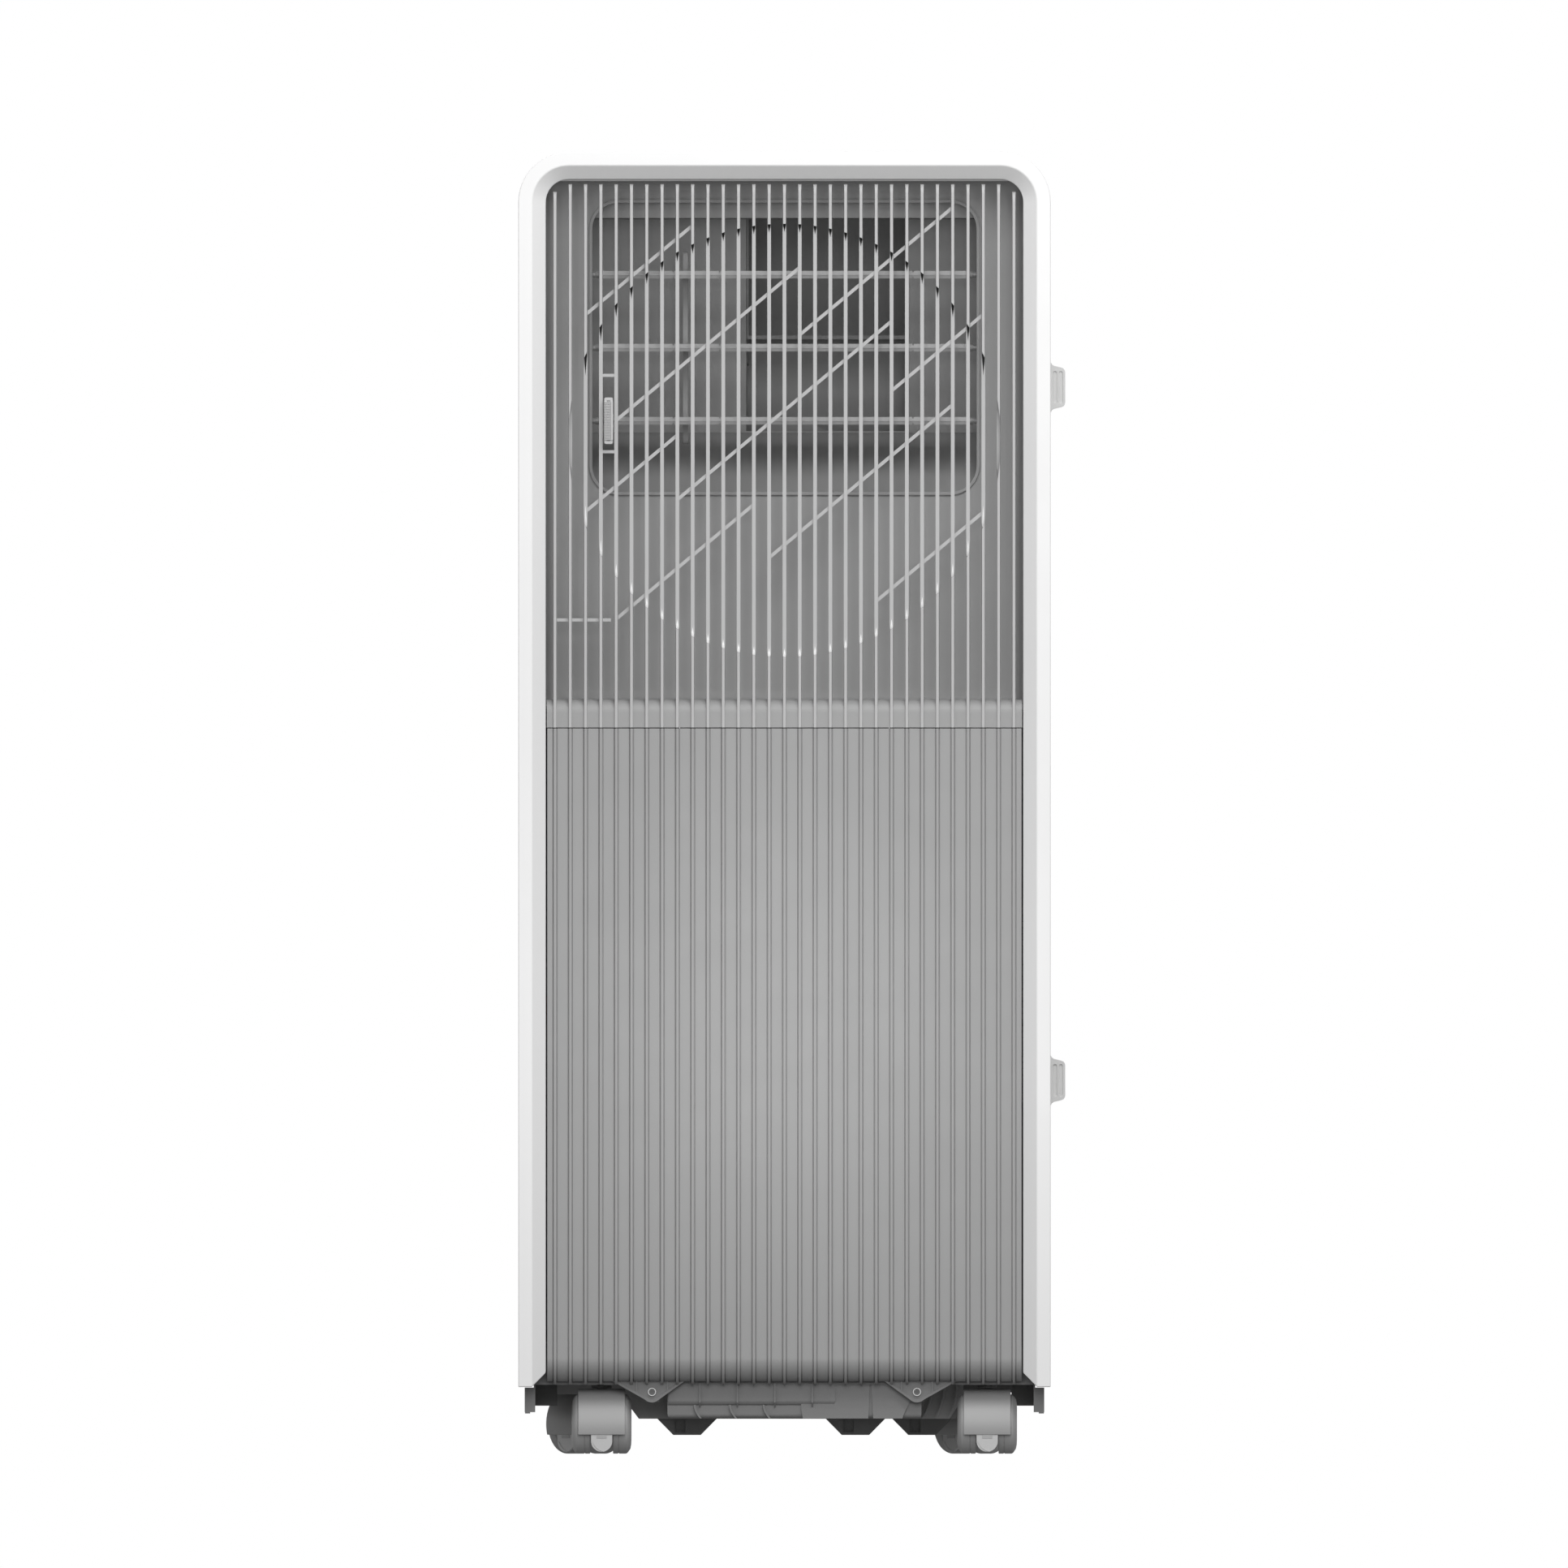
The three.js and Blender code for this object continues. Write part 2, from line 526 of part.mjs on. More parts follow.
/** An intake window in the rear wall: the room left between horizontal slats. */
function intake({ z, half }) {
  const slats = 13;
  const step = (2 * half - 24) / slats;
  return Array.from({ length: slats }, (_, i) => {
    const low = z - half + 12 + i * step;
    return block(-128, 128, COVER_BACK - 5, COVER_BACK + 1, low + 2, low + step - 2);
  });
}

function rearCover() {
  const front = CASING_BACK + GAP;
  const low = CASING_FOOT + 1;
  const shell = cut(
    prism("y", arch(1, low), front, COVER_BACK),
    prism("y", arch(1 + SKIN, low - 5), front - 1, COVER_BACK - SKIN),
  );
  const grooves = Object.values(FILTERS).map(({ z, half }) =>
    block(FILTER.left, HALF + 1, FILTER.front - 0.6, FILTER.back + 0.6, z - half - 0.5, z + half + 0.5),
  );
  const rails = Object.values(FILTERS).flatMap(({ z, half }) => [-1, 1].map((s) => {
    const edge = z + s * (half + 0.5);
    const zs = [edge - s * 4, edge + s * 3].sort((a, b) => a - b);
    return block(FILTER.left - 3, HALF - 3, FILTER.front - 3, COVER_BACK - 1, ...zs);
  }));
  const drain = ({ x, z }) => rod("y", 9.3, COVER_BACK - 5, COVER_BACK + 1, [x, z], 16);
  const wall = Object.values(DRAINS).map(drain);
  return cut(
    join(shell, ...rails),
    ...grooves,
    ...Object.values(FILTERS).flatMap(intake),
    rod("y", PORT_R + 7.3, COVER_BACK - 6, COVER_BACK + 1, [0, PORT_Z], 24),
    ...wall,
    rod("y", 7.3, COVER_BACK - 5, COVER_BACK + 1, [GLAND.x, GLAND.z], 16),
  );
}

/** A filter frame with its mesh panes, an end plate that fills the slot, and the pull tab. */
function airFilter({ z, half }) {
  const right = HALF - 1;
  const h = half - 0.6;
  const { front, back, left } = FILTER;
  const frame = block(left + 1, right, front, back - 0.6, z - h, z + h);
  const panes = [];
  const columns = 2;
  const rows = 3;
  const w = (right - 8 - left - 5) / columns;
  const t = (2 * h - 6) / rows;
  for (let i = 0; i < columns; i++) {
    for (let j = 0; j < rows; j++) {
      const x = left + 6 + i * w;
      const low = z - h + 3 + j * t;
      panes.push(block(x + 2, x + w - 2, front - 1, front + 2.6, low + 2, low + t - 2));
      panes.push(block(x + 2, x + w - 2, front + 3.4, back + 1, low + 2, low + t - 2));
    }
  }
  const tab = new THREE.Shape();
  tab.moveTo(right - 2, z - 16.2);
  tab.lineTo(HALF + 0.4, z - 16.2);
  tab.quadraticCurveTo(HALF + 1.6, z - 14.2, HALF + 4, z - 13.6);
  tab.quadraticCurveTo(HALF + FILTER_OUT, z - 12.8, HALF + FILTER_OUT, z - 10);
  tab.lineTo(HALF + FILTER_OUT, z + 10);
  tab.quadraticCurveTo(HALF + FILTER_OUT, z + 12.8, HALF + 4, z + 13.6);
  tab.quadraticCurveTo(HALF + 1.6, z + 14.2, HALF + 0.4, z + 16.2);
  tab.lineTo(right - 2, z + 16.2);
  const grooves = [3, 7].map((d) =>
    block(HALF + d - 1, HALF + d + 1, front + 0.5, front + 1.8, z - 10, z + 10),
  );
  return cut(join(cut(frame, ...panes), prism("y", tab, front + 1, back - 1.6, 3)), ...grooves);
}

function exhaustCollar() {
  const centre = [0, PORT_Z];
  const tube = pipe("y", PORT_R + 4, PORT_R, CASING_BACK + 8, COLLAR_BACK, centre, 24);
  const flange = pipe("y", PORT_R + 7, PORT_R, COVER_BACK - SKIN - 4, COVER_BACK + 1.5, centre, 24);
  const lugs = [0, 120, 240].map((deg) => {
    const a = THREE.MathUtils.degToRad(deg + 90);
    const [x, z] = [Math.cos(a) * (PORT_R + 4.5), PORT_Z + Math.sin(a) * (PORT_R + 4.5)];
    return block(x - 5, x + 5, COLLAR_BACK - 8, COLLAR_BACK - 4, z - 2.4, z + 2.4);
  });
  const bars = [-40, -20, 0, 20, 40].map((x) => {
    const h = Math.sqrt((PORT_R + 2) ** 2 - x * x);
    return block(x - 1.2, x + 1.2, COVER_BACK - 6, COVER_BACK - 2, PORT_Z - h, PORT_Z + h);
  });
  return join(tube, flange, ...lugs, ...bars);
}

function drainPlug({ x, z }) {
  const cap = rod("y", 9, COVER_BACK - 2, COVER_BACK + 6, [x, z], 16);
  const stem = rod("y", 5, COVER_BACK - 16, COVER_BACK - 1, [x, z], 12);
  const grip = block(x - 1.5, x + 1.5, COVER_BACK + 5, COVER_BACK + 9, z - 6, z + 6);
  return join(cap, stem, grip);
}

function cordGland() {
  const centre = [GLAND.x, GLAND.z];
  const body = rod("y", 7, COVER_BACK - 8, COVER_BACK + 4, centre, 16);
  const nose = rod("y", 6.5, COVER_BACK + 3, COVER_BACK + 12, centre, 16, 5);
  const nut = rod("y", 10, COVER_BACK - SKIN - 3.5, COVER_BACK - SKIN - GAP, centre, 6);
  return cut(join(body, nose, nut), rod("y", 3.6, COVER_BACK - 9, COVER_BACK + 13, centre, 12));
}

add("rear_cover", "casing", rearCover());
add("upper_filter", "filter", airFilter(FILTERS.upper));
add("lower_filter", "filter", airFilter(FILTERS.lower));
add("exhaust_collar", "base", exhaustCollar());
add("upper_drain_plug", "base", drainPlug(DRAINS.upper));
add("lower_drain_plug", "base", drainPlug(DRAINS.lower));
add("cord_gland", "base", cordGland());

// ---------------------------------------------------------------- base pan
const DECK = 45; // underside of the deck that carries the casters
const TUB = { left: -95.2, right: 112, low: 22.8, slope: 6.4, knee: 31.3, front: -60, back: 70 };
const NOSE = { left: -76.5, right: 89.5, front: -138, back: 138 }; // the tub's ends, clear of the casters
const DECK_EDGE = { x: 164, front: -140, back: 150 };
const SOCKET = { r: 9, top: 68 };
const STEM = { r: 3.1, collar: 6.6 };
const FEET = [
  { x: -63.7, y: -40 },
  { x: 46.4, y: -40 },
  { x: 89.9, y: 48 },
  { x: -63.7, y: 48 },
];
const RIB_PITCH = 24.4;

/** The tub under the deck: wide between the casters and narrow beside them. */
function tubSolid(inset) {
  const out = TUB.slope - inset;
  const top = DECK + (inset ? 10 : 3);
  const outline = points(
    [TUB.left - out, top], [TUB.left - out, TUB.knee], [TUB.left + inset, TUB.low + inset],
    [TUB.right - inset, TUB.low + inset], [TUB.right + out, TUB.knee], [TUB.right + out, top],
  );
  const wide = prism("y", outline, TUB.front + inset, TUB.back - inset);
  const { left, right, front, back } = NOSE;
  const long = block(left + inset, right - inset, front + inset, back - inset, TUB.low + inset, top);
  return join(wide, long);
}

function basePan() {
  const { x: ex, front: ef, back: eb } = DECK_EDGE;
  const deck = block(-ex, ex, ef, eb, DECK, DECK + 3);
  const rim = cut(block(-ex, ex, ef, eb, DECK, 72), block(-ex + 3, ex - 3, ef + 3, eb - 3, DECK - 1, 73));
  const skirts = [-1, 1].flatMap((s) => {
    const edge = (a, b) => [s * a, s * b].sort((p, q) => p - q);
    return [
      block(...edge(162.9, 169.8), TUB.front, TUB.back, 27, 43.2),
      block(...edge(148.3, 163.2), TUB.front + 4, TUB.back - 4, 31.3, DECK + 1),
    ];
  });
  const feet = FEET.map(({ x, y }) => {
    const shape = points([x - 20.4, TUB.low + 1], [x - 9, 12.2], [x + 9, 12.2], [x + 20.4, TUB.low + 1]);
    return prism("y", shape, y - 14, y + 14);
  });
  const ribs = Array.from({ length: 6 }, (_, i) => {
    const x = -55.2 + i * RIB_PITCH;
    return block(x - 0.7, x + 0.7, NOSE.front - 2.5, NOSE.front + 1, 34, DECK + 2);
  });
  const towers = casterSpots().map(({ x, y }) => rod("z", SOCKET.r, DECK, SOCKET.top, [x, y]));
  const bosses = [-1, 1].map((s) =>
    block(s * TAB.x - 5, s * TAB.x + 5, TAB.y + 4 + GAP, NOSE.front + 4, 34, DECK + 2));
  const tray = cut(join(tubSolid(0), deck, rim), tubSolid(3));
  const pan = join(tray, ...skirts, ...feet, ...ribs, ...towers, ...bosses);
  const sockets = casterSpots().map(({ x, y }) => rod("z", STEM.r + GAP, DECK - 1, SOCKET.top - 4, [x, y]));
  const screws = [-1, 1].map((s) => rod("y", 1.7, TAB.y, NOSE.front + 5, [s * TAB.x, TAB.screw], 8));
  const drain = rod("y", 5.3, eb - 5, eb + 1, [DRAINS.lower.x, DRAINS.lower.z]);
  return cut(pan, ...sockets, ...screws, drain);
}

function casterSpots() {
  return Object.entries(CASTER_Y).flatMap(([end, y]) =>
    CASTER_X.map((x) => ({ name: `${end}_${x < 0 ? "left" : "right"}`, x, y, turn: CASTER_TURN[end] })),
  );
}

add("base_pan", "base", basePan());

// ---------------------------------------------------------------- casters
const HOOD = { r: 23, thick: 1.8, half: 15.4, foot: 12.2 };
const WHEEL = { inner: 7.4, outer: 18.3, dome: 19.5 };
const AXLE_R = 2.5;

/** The hood with its centre web, stem socket and axle, about the stem's axis, its hood towards -Y. */
function casterFork() {
  const [y, z] = [-TRAIL, WHEEL_R];
  const start = Math.asin((z - HOOD.foot) / HOOD.r);
  const from = Math.PI + start;
  const to = THREE.MathUtils.degToRad(38);
  const steps = 7;
  const ring = (r) => Array.from({ length: steps + 1 }, (_, i) => {
    const a = from + ((to - from) * i) / steps;
    return [y + r * Math.cos(a), z + r * Math.sin(a)];
  });
  const outline = points(...ring(HOOD.r), ...ring(HOOD.r - HOOD.thick).reverse());
  const shell = prism("x", outline, -HOOD.half, HOOD.half);
  const web = prism("x", points(...ring(HOOD.r - 0.5), [y + 4, z - 4], [y - 6, z - 4]), -3, 3);
  const socket = rod("z", 7, 24, 42.4, [0, 0]);
  const axle = rod("x", AXLE_R, -WHEEL.outer + 1, WHEEL.outer - 1, [y, z]);
  const hub = rod("x", 5, -WHEEL.inner + 0.6, WHEEL.inner - 0.6, [y, z]);
  return cut(join(shell, web, socket, axle, hub), rod("z", STEM.r + GAP, 20, 45, [0, 0]));
}

function casterStem() {
  return join(rod("z", STEM.r, 30, 61, [0, 0]), rod("z", STEM.collar, 42.7, DECK - GAP, [0, 0]));
}

/** One wheel of a pair: a tread, a domed outer face, a hollow inner face and a bore for the axle. */
function casterWheel(side) {
  const r = WHEEL_R / Math.cos(Math.PI / 16);
  const profile = [
    [WHEEL.inner, AXLE_R + 0.4], [WHEEL.inner, 6], [WHEEL.inner + 5, 7],
    [WHEEL.inner, r - 3], [WHEEL.inner, r],
    [WHEEL.outer, r], [WHEEL.dome, r - 6], [WHEEL.dome, AXLE_R + 0.4], [WHEEL.inner, AXLE_R + 0.4],
  ];
  const made = turned(profile).translate([0, -TRAIL, WHEEL_R]);
  return side > 0 ? made : made.mirror([1, 0, 0]);
}

for (const { name, x, y, turn } of casterSpots()) {
  const place = (made) => made.rotate([0, 0, turn]).translate([x, y, 0]);
  add(`caster_${name}_stem`, "steel", place(casterStem()));
  add(`caster_${name}_fork`, "caster", place(casterFork()));
  add(`caster_${name}_wheel_a`, "caster", place(casterWheel(-1)));
  add(`caster_${name}_wheel_b`, "caster", place(casterWheel(1)));
}

// ---------------------------------------------------------------- the cooling plant
const UPPER_FAN = { x: 5, z: 640, r: 66, front: -14, back: 46 };
const LOWER_FAN = { x: -8, z: 330, r: 70, front: 8, back: 62 };

/** A squirrel-cage blower wheel about Y: a back plate with a hub, a ring, and blades between them. */
function blowerWheel({ x, z, r, front, back }) {
  const blades = 12;
  const vane = (i) => {
    const a = (i / blades) * 2 * Math.PI;
    return block(r - 11, r - 1, front + 1, back - 1, -0.8, 0.8)
      .rotate([0, THREE.MathUtils.radToDeg(a), 0]).translate([x, 0, z]);
  };
  return cut(
    join(
      rod("y", r, front, front + 2, [x, z], 20),
      pipe("y", r, r - 10, back - 3, back, [x, z], 20),
      rod("y", 9, front, front + 24, [x, z], 8),
      ...Array.from({ length: blades }, (_, i) => vane(i)),
    ),
    rod("y", 4.4, front - 1, front + 25, [x, z], 8),
  );
}

/** A scroll housing around a blower wheel, with a round inlet at the back and a square mouth. */
function scroll(fan, outline, mouth) {
  const [front, back] = [fan.front - 5, fan.back + 5];
  return cut(
    join(prism("y", outline(0), front, back), mouth(0)),
    prism("y", outline(2.5), front + 2.5, back - 2.5),
    mouth(2.5),
    rod("y", fan.r - 8, back - 4, back + 1, [fan.x, fan.z], 20),
    rod("y", 12, front - 1, front + 4, [fan.x, fan.z]),
  );
}

function upperScroll() {
  const { x, z, r } = UPPER_FAN;
  const { left, right, high } = BLOWER_MOUTH;
  const outline = (inset) => {
    const shape = new THREE.Shape();
    const reach = r + 11 - inset;
    shape.moveTo(right + 4 - inset, z);
    shape.lineTo(right + 4 - inset, high + 5 - inset);
    shape.lineTo(left - 4 + inset, high + 5 - inset);
    shape.lineTo(left - 4 + inset, z + 75);
    shape.absarc(x, z, reach, 0.62 * Math.PI, 1.92 * Math.PI);
    return shape;
  };
  const [front, back] = [DUCT.back + GAP, UPPER_FAN.back + 5];
  const mouth = (inset) => block(
    left - 4 + inset, right + 4 - inset, front - (inset ? 1 : 0), back - inset,
    BLOWER_MOUTH.low + 60 + inset, high + 5 - inset,
  );
  const stand = block(x - 30, x + 30, 12, 15, TRAY.low + TRAY.floor + GAP, z - r - 9);
  return join(scroll(UPPER_FAN, outline, mouth), stand);
}

function lowerScroll() {
  const { x, z, r } = LOWER_FAN;
  const outline = (inset) => {
    const shape = new THREE.Shape();
    const reach = r + 12 - inset;
    shape.absarc(x, z, reach, 0.75 * Math.PI, 2.15 * Math.PI);
    shape.lineTo(66 - inset, PORT_Z + 66 - inset);
    shape.lineTo(-66 + inset, PORT_Z + 66 - inset);
    return shape;
  };
  const end = CASING_BACK + 4;
  const mouth = (inset) =>
    rod("y", PORT_R + 6 - inset, LOWER_FAN.back - 4, end + (inset ? 1 : 0), [0, PORT_Z], 24);
  const hanger = block(-60, 60, 40, 43, PORT_Z + 64, TRAY.low - GAP);
  return join(scroll(LOWER_FAN, outline, mouth), hanger);
}

/** A fan motor about Y, whose shaft carries the wheel. */
function fanMotor({ x, z, front }) {
  const back = front - 5 - GAP;
  const can = rod("y", 36, back - 34, back, [x, z], 16);
  const nose = rod("y", 10, back - 1, front - 1, [x, z]);
  const shaft = rod("y", 4, front - 2, front + 24, [x, z], 8);
  return join(can, nose, shaft);
}

/** A finned coil with end plates and hairpin bends on its left. */
function coil(low, high, front, back) {
  const core = block(-128, 128, front + 2, back - 2, low + 3, high - 3);
  const plates = [-129.5, 128].map((x) => block(x, x + 1.5, front, back, low, high));
  const bends = 5;
  const step = (high - low) / (bends + 0.5);
  const y = (front + back) / 2;
  const hairpins = Array.from({ length: bends }, (_, i) => {
    const z = low + step * (i + 0.4);
    const outer = roundedRect(-142, -120, z, z + 20, 9.5);
    const inner = roundedRect(-136, -110, z + 6, z + 14, 3.9);
    return cut(prism("y", outer, y - 4, y + 4, 2), prism("y", inner, y - 5, y + 5, 2));
  });
  return join(core, ...plates, ...hairpins);
}

const COMPRESSOR = { x: -14, y: -62, r: 56, low: TUB.low + 3 + GAP, high: 235 };
const BOTTLE = { x: 68, r: 19, low: 70, high: 185 }; // the suction accumulator beside the compressor
const TRAY = { x: 170.7, front: -118, back: 92, low: 553, floor: 2.5, rim: 11 };
const SHELF = { x: 150, back: 135 }; // the tray's narrow rear part

function compressor() {
  const { x, y, r, low, high } = COMPRESSOR;
  const can = [
    rod("z", r - 14, low, low + 13, [x, y], 16, r),
    rod("z", r, low + 12, high - 16, [x, y], 16),
    rod("z", r, high - 17, high, [x, y], 16, r - 18),
    rod("z", 16, high - 1, high + 14, [x, y]),
  ];
  const feet = [0, 120, 240].map((deg) =>
    block(-8, 8, 0, r + 6, low, low + 4).rotate([0, 0, deg]).translate([x, y, 0]));
  const bottle = rod("z", BOTTLE.r, BOTTLE.low, BOTTLE.high, [BOTTLE.x, y]);
  const strap = block(x + r - 6, BOTTLE.x - BOTTLE.r + 4, y - 8, y + 8, high - 80, high - 74);
  const elbow = block(x + r - 16, BOTTLE.x + 4, y - 4, y + 4, BOTTLE.low - 10, BOTTLE.low + 1);
  return join(...can, ...feet, bottle, strap, elbow);
}

/** A copper pipe that follows a smooth line through the given points. */
function copperPipe(radius, steps, ...route) {
  const line = new THREE.CatmullRomCurve3(route.map((p) => new THREE.Vector3(...p)), false, "centripetal");
  const section = new THREE.Shape().absarc(0, 0, radius, 0, 2 * Math.PI);
  return solid(new THREE.ExtrudeGeometry(section, { steps, extrudePath: line, curveSegments: 4 }));
}

/** The tray between the two halves of the plant; its rear shelf catches what drips off the upper coil. */
function dividerTray() {
  const { x, front, back, low, floor, rim } = TRAY;
  const outside = join(
    block(-x, x, front, back, low, low + floor + rim),
    block(-SHELF.x, SHELF.x, back - 1, SHELF.back, low, low + floor + rim),
  );
  const inside = join(
    block(-x + 2, x - 2, front + 2, back - 2, low + floor, low + floor + rim + 1),
    block(-SHELF.x + 2, SHELF.x - 2, back - 3, SHELF.back - 2, low + floor, low + floor + rim + 1),
  );
  return cut(outside, inside, block(-161, -142, 74, back + 6, low - 1, low + 20));
}

function controlBox() {
  const floor = DECK + 3 + GAP;
  return join(block(96, 160, -92, -20, floor, 226), block(93, 162, -95, -17, 225, 230));
}

add("divider_tray", "inner", dividerTray());
add("upper_scroll", "inner", upperScroll());
add("upper_blower_wheel", "base", blowerWheel(UPPER_FAN));
add("upper_fan_motor", "steel", fanMotor(UPPER_FAN));
add("evaporator_coil", "fins", coil(TRAY.low + TRAY.floor + GAP, 819, 98, SHELF.back - 2 - GAP));
add("lower_scroll", "inner", lowerScroll());
add("lower_blower_wheel", "base", blowerWheel(LOWER_FAN));
add("lower_fan_motor", "steel", fanMotor(LOWER_FAN));
add("condenser_coil", "fins", coil(SOCKET.top + GAP, 356, 98, 134));
add("compressor", "compressor", compressor());
add("discharge_pipe", "copper", copperPipe(
  3.2, 18, [-14, -62, 249.8], [-15, -63, 262], [-80, -70, 276], [-140, -20, 286],
  [-152, 60, 300], [-152, 112, 270],
));
add("suction_pipe", "copper", copperPipe(
  4.5, 24, [68, -62, 185.8], [67, -63, 215], [20, -100, 300], [-80, -108, 400], [-140, -70, 480],
  [-151, 60, 525], [-151, 84, 560], [-151, 112, 600],
));
add("control_box", "inner", controlBox());

const airConditioner = new THREE.Group();
airConditioner.add(cabinet);
export default airConditioner;
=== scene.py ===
"""Portable room air conditioner, dressed for the library.

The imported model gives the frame. Each sub-assembly below is a class that holds its own sizes, models its
visible pieces with Blender's operators in place of the plain CAD nodes, and hangs them on the CAD bodies.
Sizes are in millimetres about the casing's centre plane, and Bench turns them into the frame's metres.
"""
import json
import logging
import math
from dataclasses import dataclass, field
from enum import Enum
from typing import Callable, Optional, Sequence

import bpy
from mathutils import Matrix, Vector

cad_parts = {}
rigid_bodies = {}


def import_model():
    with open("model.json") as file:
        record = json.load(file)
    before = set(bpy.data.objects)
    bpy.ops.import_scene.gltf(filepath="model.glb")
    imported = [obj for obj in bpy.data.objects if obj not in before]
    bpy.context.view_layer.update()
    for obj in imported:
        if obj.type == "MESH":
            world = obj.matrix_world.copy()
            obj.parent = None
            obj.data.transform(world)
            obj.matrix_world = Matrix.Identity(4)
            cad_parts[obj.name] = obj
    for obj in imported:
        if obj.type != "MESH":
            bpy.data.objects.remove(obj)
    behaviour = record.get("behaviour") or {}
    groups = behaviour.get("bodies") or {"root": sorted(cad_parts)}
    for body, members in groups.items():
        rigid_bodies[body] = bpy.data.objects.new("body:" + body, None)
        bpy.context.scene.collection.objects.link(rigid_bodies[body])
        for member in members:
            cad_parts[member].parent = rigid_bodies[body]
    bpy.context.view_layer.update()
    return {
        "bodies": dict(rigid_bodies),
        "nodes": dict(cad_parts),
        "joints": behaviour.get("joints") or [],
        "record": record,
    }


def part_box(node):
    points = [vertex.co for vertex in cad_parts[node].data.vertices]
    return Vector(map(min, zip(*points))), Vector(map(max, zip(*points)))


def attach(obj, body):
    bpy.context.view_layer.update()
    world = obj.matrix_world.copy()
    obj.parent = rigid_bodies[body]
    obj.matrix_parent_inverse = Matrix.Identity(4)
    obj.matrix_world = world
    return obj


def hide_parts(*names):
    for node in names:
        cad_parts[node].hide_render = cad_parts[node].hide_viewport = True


LOG = logging.getLogger("air_conditioner")
MM = 0.001
REACH = 9
UV = tuple[float, float]
Node = bpy.types.Object


def past(low: float, high: Optional[float] = None) -> UV:
    """The ends of a cutting shape that reaches well past a wall, or past the two ends of a piece."""
    return low - REACH, (low if high is None else high) + REACH


class Axis(Enum):
    """A direction of the frame, with the order in which a flat outline's two numbers are read."""

    X = 0
    Y = 1
    Z = 2

    def spot(self, u: float, v: float, w: float) -> Vector:
        """A point from an outline's two numbers and its place along this axis, in millimetres."""
        return Vector({Axis.X: (w, u, v), Axis.Y: (u, w, v), Axis.Z: (u, v, w)}[self])


class Side(Enum):
    """Left or right, as seen by someone who faces the front."""

    LEFT = -1
    RIGHT = 1


# ---------------------------------------- finishes
DRIFT_SCALE, DRIFT_DETAIL = 9.0, 3.0
DRIFT_SPAN = (0.3, 0.7)
WEAR_SCALE, WEAR_DETAIL, WEAR_SPREAD = 38.0, 4.0, 0.06
LEAST_ROUGHNESS = 0.02
GRAIN_DETAIL, GRAIN_HEIGHT = 2.0, 0.0002
FIN_HEIGHT = 0.001


@dataclass(frozen=True)
class Wiring:
    """A material's nodes while they are wired.

    Attributes:
        tree: its node tree.
        place: object coordinates.
        shader: its principled shader.
    """

    tree: bpy.types.NodeTree
    place: bpy.types.NodeSocket
    shader: bpy.types.Node

    def noise(self, scale: float, detail: float) -> bpy.types.NodeSocket:
        """Adds noise over the piece.

        Args:
            scale: features per metre.
            detail: how many finer layers lie on it.

        Returns:
            Its value, from 0 to 1.
        """
        cloud = self.tree.nodes.new("ShaderNodeTexNoise")
        cloud.inputs["Scale"].default_value = scale
        cloud.inputs["Detail"].default_value = detail
        self.tree.links.new(self.place, cloud.inputs["Vector"])
        return cloud.outputs["Fac"]

    def press(self, height: bpy.types.NodeSocket, strength: float, distance: float) -> None:
        """Presses a relief into the surface.

        Args:
            height: the relief, from 0 to 1.
            strength: how much of it shows.
            distance: how high it stands, in metres.
        """
        bump = self.tree.nodes.new("ShaderNodeBump")
        bump.inputs["Strength"].default_value = strength
        bump.inputs["Distance"].default_value = distance
        self.tree.links.new(height, bump.inputs["Height"])
        self.tree.links.new(bump.outputs["Normal"], self.shader.inputs["Normal"])


